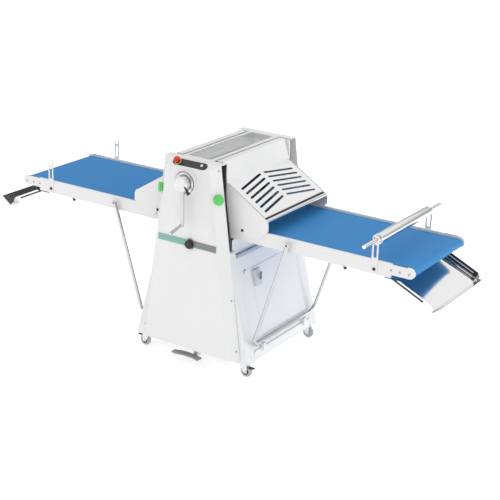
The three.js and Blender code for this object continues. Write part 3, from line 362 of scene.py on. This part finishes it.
def studio_floor():
    finish = Finish("studio_floor", (0.93, 0.93, 0.93), 0.75)
    finish.paint(finish.mix(finish.noise(0.8, 2), (0.925, 0.925, 0.925, 1), (0.94, 0.94, 0.94, 1)))
    finish.feed(finish.shader.inputs["Emission Color"], (1, 1, 1, 1))
    finish.feed(finish.shader.inputs["Emission Strength"], 0.42)
    return finish


def black_card():
    finish = Finish("black_card", (0.004, 0.004, 0.004), 0.9)
    finish.rough(finish.spread(finish.noise(3), 0.85, 0.95))
    return finish


belt_blue = belt_coat()
knob_low, knob_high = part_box("speed_knob")
trim = two_colour_trim((knob_low.x + knob_high.x) / 2 - 0.017)
floor_mesh.materials.append(studio_floor().material)
card_mesh.materials.append(black_card().material)
print("belt finish ready")

# %% [markdown]
# ## Two ways to make a piece
# Sheet-metal parts already have their true outline in the CAD mesh, but every edge there is razor
# sharp. A copy is merged into one skin, its flat areas are joined, and its edges get a small round:
# a wide one where the sheet is bent, a hair's breadth where it is cut. Round parts are turned: a
# profile goes round an axis in many small steps.


# %% Piece helpers
def at(x, y, z):
    """A point in millimetres from the floor under the middle of the head."""
    return Vector((x / 1000, MID_Y + y / 1000, z / 1000))


def settle(thing, body, slot, *stands_for):
    """Gives a finished object its body and hides the CAD nodes that it stands for. Its slot is not used."""
    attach(thing, body)
    if stands_for:
        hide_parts(*stands_for)
    return thing


def to_object(name, work, finish, smooth_under=32):
    mesh = bpy.data.meshes.new(name)
    work.to_mesh(mesh)
    work.free()
    mesh.materials.append(finish.material)
    mesh.shade_smooth()
    mesh.set_sharp_from_angle(angle=math.radians(smooth_under))
    thing = bpy.data.objects.new(name, mesh)
    bpy.context.collection.objects.link(thing)
    return thing


def merged_copy(node):
    work = bmesh.new()
    work.from_mesh(frame["nodes"][node].data)
    bmesh.ops.remove_doubles(work, verts=work.verts, dist=0.00002)
    bmesh.ops.dissolve_limit(work, angle_limit=math.radians(0.6), verts=work.verts, edges=work.edges)
    return work


def pressed(node, finish, bend=0.0025, cut=0.0005):
    """A sheet-metal or solid CAD part with rounded bends and softened cut edges."""
    work = merged_copy(node)
    weights = work.edges.layers.float.new("bevel_weight_edge")
    for edge in work.edges:
        if len(edge.link_faces) != 2 or edge.calc_face_angle(0) < math.radians(20):
            continue
        breadth = min(face.calc_area() for face in edge.link_faces) / edge.calc_length()
        edge[weights] = 1.0 if breadth > 4 * bend else cut / bend
    thing = to_object(node + "_pressed", work, finish)
    soft = thing.modifiers.new("soft edges", "BEVEL")
    soft.width, soft.segments, soft.limit_method = bend, 3, "WEIGHT"
    soft.use_clamp_overlap = True
    soft.harden_normals = True
    return settle(thing, BODY_OF[node], SLOT_OF[node], node)


def softened(points, size, steps=4):
    """A profile of (a, b) points with its inner corners rounded."""
    path = [Vector(points[0])]
    for before, corner, after in zip(points, points[1:], points[2:]):
        before, corner, after = Vector(before), Vector(corner), Vector(after)
        near = min(size, (before - corner).length / 2.1, (after - corner).length / 2.1)
        start = corner + (before - corner).normalized() * near
        end = corner + (after - corner).normalized() * near
        for step in range(steps + 1):
            t = step / steps
            path.append(start * (1 - t) ** 2 + corner * 2 * t * (1 - t) + end * t ** 2)
    return path + [Vector(points[-1])]


def turned(profile, origin, axis, sides=64):
    """A closed shape turned about an axis from (along, radius) points."""
    turn = Vector(axis).to_track_quat("Z", "Y").to_matrix()
    work = bmesh.new()
    rings = []
    for along, radius in profile:
        if radius < 1e-6:
            rings.append([work.verts.new(Vector(origin) + turn @ Vector((0, 0, along)))])
            continue
        rings.append([work.verts.new(Vector(origin) + turn @ Vector(
            (radius * math.cos(math.tau * i / sides), radius * math.sin(math.tau * i / sides), along)))
            for i in range(sides)])
    for first, second in zip(rings, rings[1:]):
        for i in range(sides):
            j = (i + 1) % sides
            corners = [first[i % len(first)], first[j % len(first)], second[j % len(second)],
                       second[i % len(second)]]
            unique = list(dict.fromkeys(corners))
            if len(unique) > 2:
                work.faces.new(unique)
    if len(rings[0]) > 1 and len(rings[-1]) > 1:
        for i in range(sides):
            j = (i + 1) % sides
            work.faces.new([rings[-1][i], rings[-1][j], rings[0][j], rings[0][i]])
    bmesh.ops.recalc_face_normals(work, faces=work.faces)
    return work


def spindle(name, body, slot, finish, origin, axis, points, round_by=0.001, sides=64, stands_for=()):
    """A turned piece from a few (along, radius) points, ends closed on the axis."""
    work = turned(softened(points, round_by), origin, axis, sides)
    return settle(to_object(name, work, finish, 40), body, slot, *stands_for)


def slab(name, body, slot, finish, outline, turn, low, high, round_by=0.0006, stands_for=()):
    """A plate: an outline in its own (x, y), from low to high along its z, put in place by a matrix."""
    work = bmesh.new()
    face = work.faces.new([work.verts.new((x, y, low)) for x, y in outline])
    grown = bmesh.ops.extrude_face_region(work, geom=[face])["geom"]
    for vert in (v for v in grown if isinstance(v, bmesh.types.BMVert)):
        vert.co.z = high
    bmesh.ops.recalc_face_normals(work, faces=work.faces)
    sharp = [e for e in work.edges if e.calc_face_angle(0) > math.radians(35)]
    bmesh.ops.bevel(work, geom=sharp, offset=round_by, segments=2, affect="EDGES", clamp_overlap=True)
    bmesh.ops.transform(work, matrix=turn, verts=work.verts)
    return settle(to_object(name, work, finish), body, slot, *stands_for)


def centre(node):
    low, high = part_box(node)
    return (low + high) / 2


print("piece helpers ready")

# %% [markdown]
# ## Sheet metal
# The head covers, legs, cabinet, guards and rails are folded from sheet and powder coated, so their
# bends are round and the coat runs over every edge. Trays and beds are bare steel, ground before
# folding. The bearing plates and the yoke between them are cut from thick plate. The yoke is dark; the
# near bearing plate is dark as painted shade for the gap behind the near head cover, the far one white.

# %% Press the sheet metal
sheet_parts = [
    (white, 0.005, ["near_head_cover", "far_head_cover", "near_leg_frame", "far_leg_frame", "base_frame",
                    "cabinet"]),
    (white, 0.0015, ["top_deck", "cabinet_door", "far_bearing_plate"]),
    # The near bearing plate is dark as painted shade for the gap behind the near head cover; the far one is
    # white.
    (dark_steel, 0.0015, ["near_bearing_plate", "roller_yoke"]),
    (steel_y, 0.0015, ["top_flour_tray", "roller_scraper"]),
    (motor_grey, 0.004, ["drive_motor"]),
    (trim, 0.001, ["trim_band"]),
    (black, 0.002, ["control_panel"]),
    (latch_grey, 0.004, ["door_latch"]),
    (pedal_grey, 0.003, ["foot_pedal"]),
]
for side in ("right", "left"):
    sheet_parts += [
        (white, 0.003, [f"{side}_near_rail", f"{side}_far_rail"]),
        (white, 0.0012, [f"{side}_guard", f"{side}_near_pin_fork", f"{side}_far_pin_fork"]),
        (steel_x, 0.0012, [f"{side}_bed"]),
        (tray_sheet, 0.0012, [f"{side}_catch_tray"]),
    ]
for end in ("near", "far"):
    sheet_parts += [(steel_z, 0.002, [f"{end}_right_caster_fork", f"{end}_left_caster_fork"])]
for finish, bend, nodes in sheet_parts:
    for node in nodes:
        pressed(node, finish, bend)
print(sum(len(nodes) for _, _, nodes in sheet_parts), "sheet parts")

# %% [markdown]
# ## Rollers and rods
# Each roller is a steel tube ground true between centres, with stub journals that run in bearings.
# The rolling pin is a loose sleeve on an axle, kept in its place by two collars.


# %% Turn the rollers
def roller(node, finish, journal=0.0, body_half=None, sides=72):
    low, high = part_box(node)
    middle, half, radius = (low + high) / 2, (high.y - low.y) / 2, (high.z - low.z) / 2
    barrel = body_half or half
    points = [(-half, 0), (-half, journal), (-barrel, journal)] if journal else [(-half, 0)]
    points += [(-barrel, radius), (barrel, radius)]
    points += [(barrel, journal), (half, journal), (half, 0)] if journal else [(half, 0)]
    return spindle(node + "_turned", BODY_OF[node], SLOT_OF[node], finish, middle, (0, 1, 0), points, 0.0015,
                   sides, [node])


roller("upper_roller", roller_chrome, 0.012, 0.308)
roller("lower_roller", roller_chrome, 0.012, 0.308)
roller("rolling_pin_sleeve", bright_pin, 0.024, 0.297)
for side in ("right", "left"):
    roller(side + "_drive_roller", bright_pin)
    roller(side + "_end_roller", bright_pin)
    roller(side + "_guard_rod", bright_pin, 0.010, 0.3225, 40)

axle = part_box("rolling_pin_axle")
pin_mid, pin_half = (axle[0] + axle[1]) / 2, (axle[1].y - axle[0].y) / 2
pin_radius = (axle[1].z - axle[0].z) / 2
collar = pin_radius + 0.009
points = [(-pin_half, 0), (-pin_half, pin_radius - 0.001), (-pin_half + 0.004, pin_radius)]
points += [(-0.320, pin_radius), (-0.320, collar), (-0.303, collar), (-0.303, pin_radius - 0.0005)]
points += [(-a, r) for a, r in reversed(points)]
spindle("rolling_pin_axle_turned", "rolling_pin", "stainless", bright_pin, pin_mid, (0, 1, 0), points, 0.002,
        48,
        ["rolling_pin_axle"])


print("rolling pin axle radius", round(pin_radius, 4))

# %% [markdown]
# ## Belts
# Each belt is an endless loop over the drive roller and the end roller, welded at a slanting joint.
# The loop is one smooth skin with an inner and an outer face.


# %% Lay the belts
def belt_loop(side):
    node = side + "_belt"
    low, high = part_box(node)
    radius, thick = (high.z - low.z) / 2, 0.002
    level = (high.z + low.z) / 2
    ends = (low.x + radius, high.x - radius)
    work = bmesh.new()
    stations = []
    for centre_x, start in ((ends[1], -90), (ends[0], 90)):
        for step in range(25):
            angle = math.radians(start + 180 * step / 24)
            stations.append((centre_x, math.cos(angle), math.sin(angle)))
    rings = []
    for centre_x, c, s in stations:
        ring = []
        for r, y in ((radius, low.y), (radius, high.y), (radius - thick, high.y), (radius - thick, low.y)):
            ring.append(work.verts.new((centre_x + r * c, y, level + r * s)))
        rings.append(ring)
    for ring, after in zip(rings, rings[1:] + rings[:1]):
        for i in range(4):
            j = (i + 1) % 4
            work.faces.new((ring[i], ring[j], after[j], after[i]))
    bmesh.ops.recalc_face_normals(work, faces=work.faces)
    return settle(to_object(side + "_belt_loop", work, belt_blue), side + "_table", "belt_blue", node)


for side in ("right", "left"):
    belt_loop(side)


# %% [markdown]
# ## Gap lever, knob and buttons
# The lever turns the eccentric that sets the roller gap. Its hub has a ground face and carries a
# black index pin. The stop button is a red mushroom on a yellow collar; the run buttons are green.

# %% Lever
hub = at(0, 0, 1148)
hub.y = at(0, -496.3, 0).y
front = at(0, -518.3, 0).y - hub.y
back = at(0, -475, 0).y - hub.y
spindle("gap_lever_hub", "gap_lever", "stainless", steel_face, hub, (0, -1, 0),
        [(-back, 0), (-back, 0.044), (-back + 0.004, 0.047), (-front - 0.003, 0.047), (-front, 0.044),
         (-front, 0)],
        0.002, 72, ["gap_lever"])
elbow = at(0, -496.3, 1148 - 246)
grip_foot = at(0, -608.3, 1148 - 246 - 23)
spindle("gap_lever_arm", "gap_lever", "stainless", bright_rod, at(0, -496.3, 1148 - 40), (0, 0, -1),
        [(0, 0), (0, 0.013), (0.206, 0.013), (0.216, 0.010), (0.218, 0)], 0.003, 36)
grip = grip_foot - elbow
spindle("gap_lever_grip", "gap_lever", "stainless", bright_rod, elbow, grip,
        [(-0.008, 0), (-0.008, 0.010), (0.008, 0.010), (0.012, 0.009), (grip.length - 0.001, 0.009),
         (grip.length, 0.0085), (grip.length, 0)], 0.003, 36)
spindle("gap_lever_dial_ring", "gap_lever", "stainless", steel_face, at(0, -476.5, 1148), (0, -1, 0),
        [(0, 0), (0, 0.0640), (0.004, 0.0640), (0.007, 0.058), (0.007, 0)], 0.0008, 72)
spindle("gap_lever_dial_edge", "gap_lever", "black_plastic", black, at(0, -475, 1148), (0, -1, 0),
        [(0, 0), (0, 0.0665), (0.002, 0.0665), (0.002, 0)], 0.0004, 72)
spindle("gap_lever_hub_groove", "gap_lever", "black_plastic", black, at(0, -483.7, 1148), (0, -1, 0),
        [(0, 0), (0, 0.0490), (0.0012, 0.0490), (0.0012, 0)], 0.0004, 72)
pin_start, pin_end = at(33, -514, 1137), at(57, -514, 1100)
spindle("gap_lever_index_pin", "gap_lever", "black_plastic", black, pin_start, pin_end - pin_start,
        [(-0.004, 0), (-0.004, 0.0075), (0.030, 0.0065), (0.034, 0.0065), (0.037, 0.011), (0.047, 0.011),
         (0.05, 0)],
        0.002, 28)
print("lever hub at", tuple(round(v, 3) for v in hub))

# %% [markdown]
# ## Buttons and speed knob
# Each push button is a turned cap on a neck. The speed knob has a ridged edge for the fingers.

# %% Buttons and speed knob
facet = Vector((0, -0.6306, 0.7761))


FACET_DEPTH = 0.0009  # how far a round edge stays inside the corners of its CAD outline


def mushroom(node, finish, aim, bulge, sides=48):
    """A push button with a domed head. Its neck, rim and axis are measured from its CAD node."""
    aim = Vector(aim).normalized()
    corners = frame["nodes"][node].data.vertices
    spots = [Vector(spot) for spot in {tuple(round(c, 5) for c in v.co) for v in corners}]
    on_axis = sum(spots, Vector()) / len(spots)
    reach = [((s - on_axis).dot(aim), (s - on_axis - aim * (s - on_axis).dot(aim)).length) for s in spots]
    foot, top, radius = min(a for a, r in reach), max(a for a, r in reach), max(r for a, r in reach)
    rim = min(a for a, r in reach if r > 0.9 * radius)
    neck = max([r for a, r in reach if a < rim - 0.0002], default=radius * 0.9)
    round_edge = radius - FACET_DEPTH
    points = [(foot, 0), (foot, neck), (rim, neck), (rim, round_edge), (top - bulge, round_edge)]
    points += [(top, radius * 0.55), (top, 0)]
    return spindle(node + "_cap", BODY_OF[node], SLOT_OF[node], finish, on_axis, aim, points, 0.0015, sides,
                   [node])


mushroom("emergency_stop_button", red, facet, 0.004)
mushroom("start_button", white_button, facet, 0.001)
stop_mid = centre("emergency_stop_button")
for side, sign in (("right", 1), ("left", -1)):
    node = side + "_run_button"
    flank = Vector((sign, -1, 0.139))
    mushroom(node, green, flank, 0.003)
panel_face = max(v.co.dot(facet) for v in frame["nodes"]["control_panel"].data.vertices)
collar_foot = stop_mid + facet * (panel_face - stop_mid.dot(facet))
spindle("emergency_stop_collar", "stand", "teal_trim", yellow, collar_foot, facet,
        [(0.0002, 0.0215), (0.0002, 0.0215), (0.003, 0.0205), (0.003, 0.017), (0.0002, 0.017)], 0.0006, 56)
knob_mid, knob_radius = centre("speed_knob"), (knob_high.z - knob_low.z) / 2
ridges = []
for step in range(144):
    angle = math.tau * step / 144
    reach = knob_radius - 0.0012 * (0.5 + 0.5 * math.cos(angle * 24))
    ridges.append((reach * math.cos(angle), reach * math.sin(angle)))
facing_front = Matrix.Translation(knob_mid) @ Matrix.Rotation(math.radians(90), 4, "X")
half = (knob_high.y - knob_low.y) / 2
slab("speed_knob_ridged", "speed_knob", "black_plastic", black, ridges, facing_front, -half, half, 0.0008,
     ["speed_knob"])
band_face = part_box("trim_band")[0].y
spindle("speed_knob_dial", "stand", "teal_trim", trim, Vector((knob_mid.x, band_face + 0.0004, knob_mid.z)),
        (0, -1, 0), [(0, 0), (0, 0.033), (0.0014, 0.033), (0.0014, 0)], 0.0004, 64)


print("speed knob radius", round(knob_radius, 4))

# %% [markdown]
# ## Casters
# Four swivel casters carry the stand. A grey tyre is moulded on a dark hub, and the near pair have a
# brake treadle that wedges the wheel.

# %% Casters
for end in ("near", "far"):
    for side in ("right", "left"):
        node = f"{end}_{side}_caster_wheel"
        low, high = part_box(node)
        middle, half, radius = (low + high) / 2, (high.y - low.y) / 2, (high.z - low.z) / 2
        tread = [(-half, 0.0065), (-half, radius - 0.012), (-half, radius - 0.006), (-half + 0.004, radius)]
        tread += [(half - 0.004, radius), (half, radius - 0.006), (half, radius - 0.012), (half, 0.0065)]
        spindle(node + "_tyre", BODY_OF[node], "wheel_grey", tyre_grey, middle, (0, 1, 0), tread, 0.0015, 48,
                [node])
        out = -1 if end == "near" else 1
        hub_points = [(half - 0.001, 0.0066), (half - 0.001, radius * 0.62), (half + 0.0012, radius * 0.58)]
        hub_points += [(half + 0.0012, 0.0066)]
        spindle(node + "_hub", BODY_OF[node], "wheel_grey", dark_steel, middle, (0, out, 0), hub_points,
                0.0005, 36)
        if end == "near":
            sign = 1 if side == "right" else -1
            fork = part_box(f"near_{side}_caster_fork")
            toe = fork[1].x + 0.034 if sign > 0 else fork[0].x - 0.034
            heel = toe - sign * 0.050
            x0, x1 = sorted((heel, toe))
            outline = [(x0, -0.013), (x1, -0.013), (x1, 0.013), (x0, 0.013)]
            lie = Matrix.Translation(Vector((0, middle.y, 0.060)))
            slab(f"near_{side}_caster_treadle", f"near_{side}_caster_fork", "stainless", dark_steel, outline,
                 lie,
                 0, 0.004, 0.0015)
print("casters done")

# %% [markdown]
# ## Fasteners
# One Geometry Nodes tree makes every screw and bolt head. Its points carry the direction that each
# head faces, and its inputs are the head's sizes, so one recipe serves button heads, sockets and knobs.


# %% Grow the fasteners
class Recipe(Tree):
    """A Geometry Nodes tree with named sizes, baked to a plain mesh."""

    def __init__(self, name, **sizes):
        super().__init__(bpy.data.node_groups.new(name, "GeometryNodeTree"))
        self.tree.interface.new_socket("Geometry", in_out="INPUT", socket_type="NodeSocketGeometry")
        self.tree.interface.new_socket("Geometry", in_out="OUTPUT", socket_type="NodeSocketGeometry")
        self.identifiers = {}
        for key, value in sizes.items():
            kind = "NodeSocketInt" if isinstance(value, int) else "NodeSocketFloat"
            socket = self.tree.interface.new_socket(key, in_out="INPUT", socket_type=kind)
            socket.default_value = value
            self.identifiers[key] = socket.identifier
        self.inside = self.tree.nodes.new("NodeGroupInput")
        self.plan = self.inside.outputs[0]

    def size(self, key):
        return Number(self, self.inside.outputs[key])

    def end(self, geometry, finish):
        real = self.node("GeometryNodeRealizeInstances", None, {0: geometry})
        skin = self.node("GeometryNodeSetMaterial", None, {0: real.outputs[0]})
        skin.inputs["Material"].default_value = finish.material
        self.feed(self.tree.nodes.new("NodeGroupOutput").inputs[0], skin.outputs[0])

    def bake(self, name, plan, body, slot, **sizes):
        holder = bpy.data.objects.new(name + "_plan", plan)
        bpy.context.collection.objects.link(holder)
        grow = holder.modifiers.new("grow", "NODES")
        grow.node_group = self.tree
        for key, value in sizes.items():
            grow[self.identifiers[key]] = value
        bpy.context.view_layer.update()
        graph = bpy.context.evaluated_depsgraph_get()
        made = bpy.data.meshes.new_from_object(holder.evaluated_get(graph), depsgraph=graph)
        bpy.data.objects.remove(holder)
        made.shade_smooth()
        made.set_sharp_from_angle(angle=math.radians(40))
        thing = bpy.data.objects.new(name, made)
        bpy.context.collection.objects.link(thing)
        return settle(thing, body, slot)


def head_recipe(name, finish):
    """A tapered head on each point, facing along the point's aim."""
    recipe = Recipe(name, Sides=24, Radius=0.006, Crown=0.004, Height=0.004, Lift=0.0)
    cone = recipe.node("GeometryNodeMeshCone", {"fill_type": "NGON"}, {
        "Vertices": recipe.size("Sides"), "Radius Top": recipe.size("Crown"),
        "Radius Bottom": recipe.size("Radius"), "Depth": recipe.size("Height")})
    aim = recipe.node("GeometryNodeInputNamedAttribute", {"data_type": "FLOAT_VECTOR"}, {"Name": "aim"})
    turn = recipe.node("FunctionNodeAlignRotationToVector", {"axis": "Z"}, {"Vector": aim.outputs[0]})
    shift = recipe.node("ShaderNodeCombineXYZ", None, {2: recipe.size("Lift")})
    raised = recipe.node("GeometryNodeTransform", None, {"Geometry": cone.outputs[0],
                                                         "Translation": shift.outputs[0]})
    placed = recipe.node("GeometryNodeInstanceOnPoints", None, {
        "Points": recipe.plan, "Instance": raised.outputs[0], "Rotation": turn.outputs[0]})
    recipe.end(placed.outputs[0], finish)
    return recipe


steel_heads, black_heads = head_recipe("steel_heads", bright_rod), head_recipe("black_heads", black)


def on_face(node, place, aim):
    """The spot where a ray against aim first meets a CAD part."""
    data = frame["nodes"][node].data
    tree = BVHTree.FromPolygons([v.co for v in data.vertices], [p.vertices for p in data.polygons])
    hit = tree.ray_cast(Vector(place) + Vector(aim) * 0.06, -Vector(aim))[0]
    return hit or Vector(place)


def heads(name, body, slot, node, aim, places, radius, height, recipe=steel_heads, socket=True):
    aim = Vector(aim).normalized()
    spots = [on_face(node, at(*place), aim) for place in places]
    for part, used, sides, wide, crown, lift, tall in (
            ("", recipe, 24, radius, radius * 0.72, 0, height),
            ("_sockets", black_heads, 6, radius * 0.42, radius * 0.42, height, 0.0003)):
        if part and not socket:
            continue
        plan = bpy.data.meshes.new(name + part + "_points")
        plan.from_pydata(spots, [], [])
        layer = plan.attributes.new("aim", "FLOAT_VECTOR", "POINT")
        for item in layer.data:
            item.vector = aim
        used.bake(name + part, plan, body, "black_plastic" if part else slot, Sides=sides, Radius=wide,
                  Crown=crown, Height=tall, Lift=lift)


for sign, side in ((1, "right"), (-1, "left")):
    for face, end in ((-1, "near"), (1, "far")):
        heads(f"{end}_{side}_cover_screws", "stand", "stainless", f"{end}_head_cover", (sign * 0.7,
                                                                                        face * 0.7, 0),
              [(sign * 287, face * 402, 476), (sign * 330, face * 402, 168), (sign * 182, face * 402, 1235)],
              0.007, 0.003)
        heads(f"{end}_{side}_bracket_bolts", side + "_table", "stainless", f"{side}_{end}_rail", (0, face, 0),
              [(sign * x, face * 322, 866) for x in (1356, 1302, 1250)], 0.008, 0.004)
        heads(f"{end}_{side}_fork_bolts", side + "_table", "black_plastic", f"{side}_{end}_pin_fork",
              (0, face, 0),
              [(sign * 1150, face * 326, 852)], 0.010, 0.006, black_heads, False)
        heads(f"{end}_{side}_guard_bolts", side + "_guard", "black_plastic", side + "_guard", (0, face, 0),
              [(sign * 303, face * 329, 888)], 0.009, 0.006, black_heads, False)
        heads(f"{end}_{side}_strut_caps", side + "_strut", "stainless", side + "_strut", (0, face, 0),
              [(sign * 617, face * 350, 873)], 0.016, 0.012)
        heads(f"{end}_{side}_rail_knobs", side + "_table", "black_plastic", f"{side}_{end}_rail", (0, 0, -1),
              [(sign * 970, face * 314, 822)], 0.012, 0.016, black_heads, False)
print("fasteners done")

# %% [markdown]
# ## Bent tube and springs
# The strut is a round tube bent to a U. A tree sweeps a circle along its centre line and rounds the
# bends. The same tree, on a helix, makes the small return springs behind the guards.


# %% Sweep the struts and springs
def tube_recipe(name, finish):
    recipe = Recipe(name, Radius=0.01, Bend=0.05, Sides=24)
    line = recipe.node("GeometryNodeMeshToCurve", None, {0: recipe.plan})
    bent = recipe.node("GeometryNodeFilletCurve", {"mode": "POLY"}, {
        "Curve": line.outputs[0], "Limit Radius": True, "Radius": recipe.size("Bend")})
    ring = recipe.node("GeometryNodeCurvePrimitiveCircle", None, {
        "Resolution": recipe.size("Sides"), "Radius": recipe.size("Radius")})
    swept = recipe.node("GeometryNodeCurveToMesh", None, {
        "Curve": bent.outputs[0], "Profile Curve": ring.outputs[0], "Fill Caps": True})
    recipe.end(swept.outputs[0], finish)
    return recipe


def path_mesh(name, spots):
    plan = bpy.data.meshes.new(name + "_path")
    plan.from_pydata(spots, [(i, i + 1) for i in range(len(spots) - 1)], [])
    return plan


tubes, wires = tube_recipe("bent_tube", bright_rod), tube_recipe("spring_wire", dark_steel)
for sign, side in ((1, "right"), (-1, "left")):
    top, foot = (sign * 617, 873), (sign * 403, 193)
    spots = [at(top[0], -344, top[1]), at(foot[0], -344, foot[1]), at(foot[0], 344, foot[1]), at(top[0], 344,
                                                                                                 top[1])]
    strut = tubes.bake(side + "_strut_tube", path_mesh(side + "_strut", spots), side + "_strut", "stainless",
                       Radius=0.011, Bend=0.045)
    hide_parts(side + "_strut")
    for face, end in ((-1, "near"), (1, "far")):
        coil = []
        for step in range(181):
            turn = math.tau * step / 20
            x = sign * (205 + 0.06 * step) + 4 * math.cos(turn)
            coil.append(at(x, face * 323 + 4 * math.sin(turn), 1120 - 0.45 * step))
        wires.bake(f"{end}_{side}_guard_spring", path_mesh("spring", coil), side + "_guard", "dark_steel",
                   Radius=0.0009, Bend=0.0, Sides=8)
print("tubes done")

# %% [markdown]
# ## Small fittings
# The last pieces are the ones a hand or a tool meets: the door's lip, lock and latch slot, the long
# slots in the table ends and the black ends of the trays.


# %% Fit the small pieces
def upright(sign, x, y, z):
    """A frame on a side face: its x runs back along the machine, its y up, its z outward."""
    turn = Matrix(((0, 0, sign), (1, 0, 0), (0, 1, 0))).to_4x4()
    return Matrix.Translation(at(x, y, z)) @ turn


def stadium(half, radius, steps=12):
    ring = []
    for mid, start in ((half - radius, -90), (radius - half, 90)):
        for step in range(steps + 1):
            angle = math.radians(start + 180 * step / steps)
            ring.append((mid + radius * math.cos(angle), radius * math.sin(angle)))
    return ring


def rectangle(half_x, half_y):
    return [(-half_x, -half_y), (half_x, -half_y), (half_x, half_y), (-half_x, half_y)]


latch_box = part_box("door_latch")
slab("cabinet_lip", "stand", "stainless", steel_y, rectangle(0.015, 0.300),
     Matrix.Translation(at(236, 0, 700)), 0.0003,
     0.003)
spindle("cabinet_lock", "stand", "stainless", bright_rod, at(280, -254, 607), (1, 0, 0.257),
        [(0, 0), (0, 0.013), (0.006, 0.013), (0.008, 0.011), (0.008, 0)], 0.001, 32)
latch_mid = (latch_box[0] + latch_box[1]) / 2
latch_face = Matrix.Translation(Vector((latch_box[1].x, latch_mid.y, latch_mid.z)))
turn_latch = latch_face @ upright(1, 0, 0, 0).to_3x3().to_4x4()
slab("door_latch_slot", "door_latch", "black_plastic", black, [(0.010 - y, x + 0.012) for x,
                                                               y in stadium(0.026, 0.008)],
     turn_latch, -0.001, 0.0004, 0.0002)
for sign, side in ((1, "right"), (-1, "left")):
    for face, end in ((-1, "near"), (1, "far")):
        top_of_rail = Matrix.Translation(at(sign * 1300, face * 315, 901))
        slab(f"{end}_{side}_tension_slot", side + "_table", "black_plastic", black,
             stadium(0.044, 0.0045), top_of_rail, -0.0005, 0.0006, 0.0002)
    for face, end in ((-1, "near"), (1, "far")):
        edge = Matrix.Translation(at(sign * 1345, face * 304, 770))
        along = Matrix.Rotation(sign * math.radians(24.8), 4, "Y")
        flat = Matrix(((1, 0, 0), (0, 0, 1), (0, 1, 0))).to_4x4()
        slab(f"{end}_{side}_tray_slot", side + "_table", "black_plastic", black, stadium(0.105, 0.005),
             edge @ along @ flat, -0.0006, 0.0006, 0.0002)
for sign, side in ((1, "right"), (-1, "left")):
    along = Matrix.Rotation(sign * math.radians(24.8), 4, "Y")
    flat = Matrix(((1, 0, 0), (0, 0, 1), (0, 1, 0))).to_4x4()
    for face, end in ((1, "far"), (-1, "near")):
        inner = Matrix.Translation(at(sign * 1372, face * 300.5, 753)) @ along @ flat
        slab(f"{end}_{side}_tray_guide", side + "_table", "black_plastic", black, rectangle(0.118, 0.0165),
             inner,
             -0.001, 0.001, 0.0005)
        slab(f"{end}_{side}_tray_guide_slot", side + "_table", "white_paint", white, stadium(0.100, 0.0035),
             inner,
             -0.0014, 0.0014, 0.0001)
        foot = Matrix.Translation(at(sign * 1474, face * 298, 706)) @ along @ flat
        slab(f"{end}_{side}_tray_stop", side + "_table", "black_plastic", black, rectangle(0.011, 0.0165),
             foot,
             -0.004, 0.004, 0.0015)
for face, end in ((-1, "near"), (1, "far")):
    skin = frame["nodes"][end + "_head_cover"].data
    widest = max(abs(v.co.x) for v in skin.vertices)
    back = min(abs(v.co.y - MID_Y) for v in skin.vertices if abs(v.co.x) > widest - 0.001)
    rim = [(v.co.x, v.co.z) for v in skin.vertices if abs(abs(v.co.y - MID_Y) - back) < 0.001]
    hull = [Vector(rim[i]) for i in convex_hull_2d([Vector(spot) for spot in rim])]
    middle = sum(hull, Vector((0, 0))) / len(hull)
    outline = [(x * 0.985, middle.y + (z - middle.y) * 0.985) for x, z in hull]
    stand_up = Matrix(((1, 0, 0), (0, 0, -1), (0, 1, 0))).to_4x4()
    closing = Matrix.Translation(Vector((0, MID_Y + face * (back + 0.002), 0))) @ stand_up
    slab(end + "_head_back_plate", "stand", "white_paint", white, outline, closing, -0.0008, 0.0008, 0.0004)
for sign, side in ((1, "right"), (-1, "left")):
    crease, brink = at(sign * 194, 0, 1148), at(sign * 447, 0, 990)
    run = brink - crease
    fall = Matrix.Rotation(-math.atan2(run.z, run.x), 4, "Y")
    for face, end in ((-1, "near"), (1, "far")):
        seam = Matrix.Translation((crease + brink) / 2 + Vector((0, face * 0.3225, 0))) @ fall
        slab(f"{end}_{side}_guard_seam", side + "_guard", "black_plastic", black,
             rectangle(run.length / 2 - 0.004, 0.0016), seam, 0.0002, 0.0008, 0.0001)
for sign, side in ((1, "right"), (-1, "left")):
    hem = Matrix.Translation(at(sign * 1550, 0, 719)) @ Matrix.Rotation(sign * math.radians(-37.1), 4, "Y")
    slab(side + "_tray_hem", side + "_table", "stainless", bright_rod, rectangle(0.011, 0.3455), hem, -0.0018,
         0.0014, 0.0006)
for sign, side in ((1, "right"), (-1, "left")):
    apron = Matrix.Translation(at(sign * 222, 0, 756)) @ Matrix.Rotation(math.radians(90), 4, "Y")
    slab(side + "_head_apron", "stand", "white_paint", white, rectangle(0.050, 0.3105), apron, -0.001, 0.001,
         0.0005)
for sign, side in ((1, "right"), (-1, "left")):
    seal = Matrix.Translation(at(sign * 447, 0, 986)) @ Matrix.Rotation(sign * math.radians(48), 4, "Y")
    slab(side + "_guard_seal", side + "_guard", "black_plastic", black, rectangle(0.009, 0.3215), seal,
         -0.001,
         0.0012, 0.0005)
pedal_low, pedal_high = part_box("foot_pedal")
print("pedal", tuple(round(v, 3) for v in pedal_low), tuple(round(v, 3) for v in pedal_high))
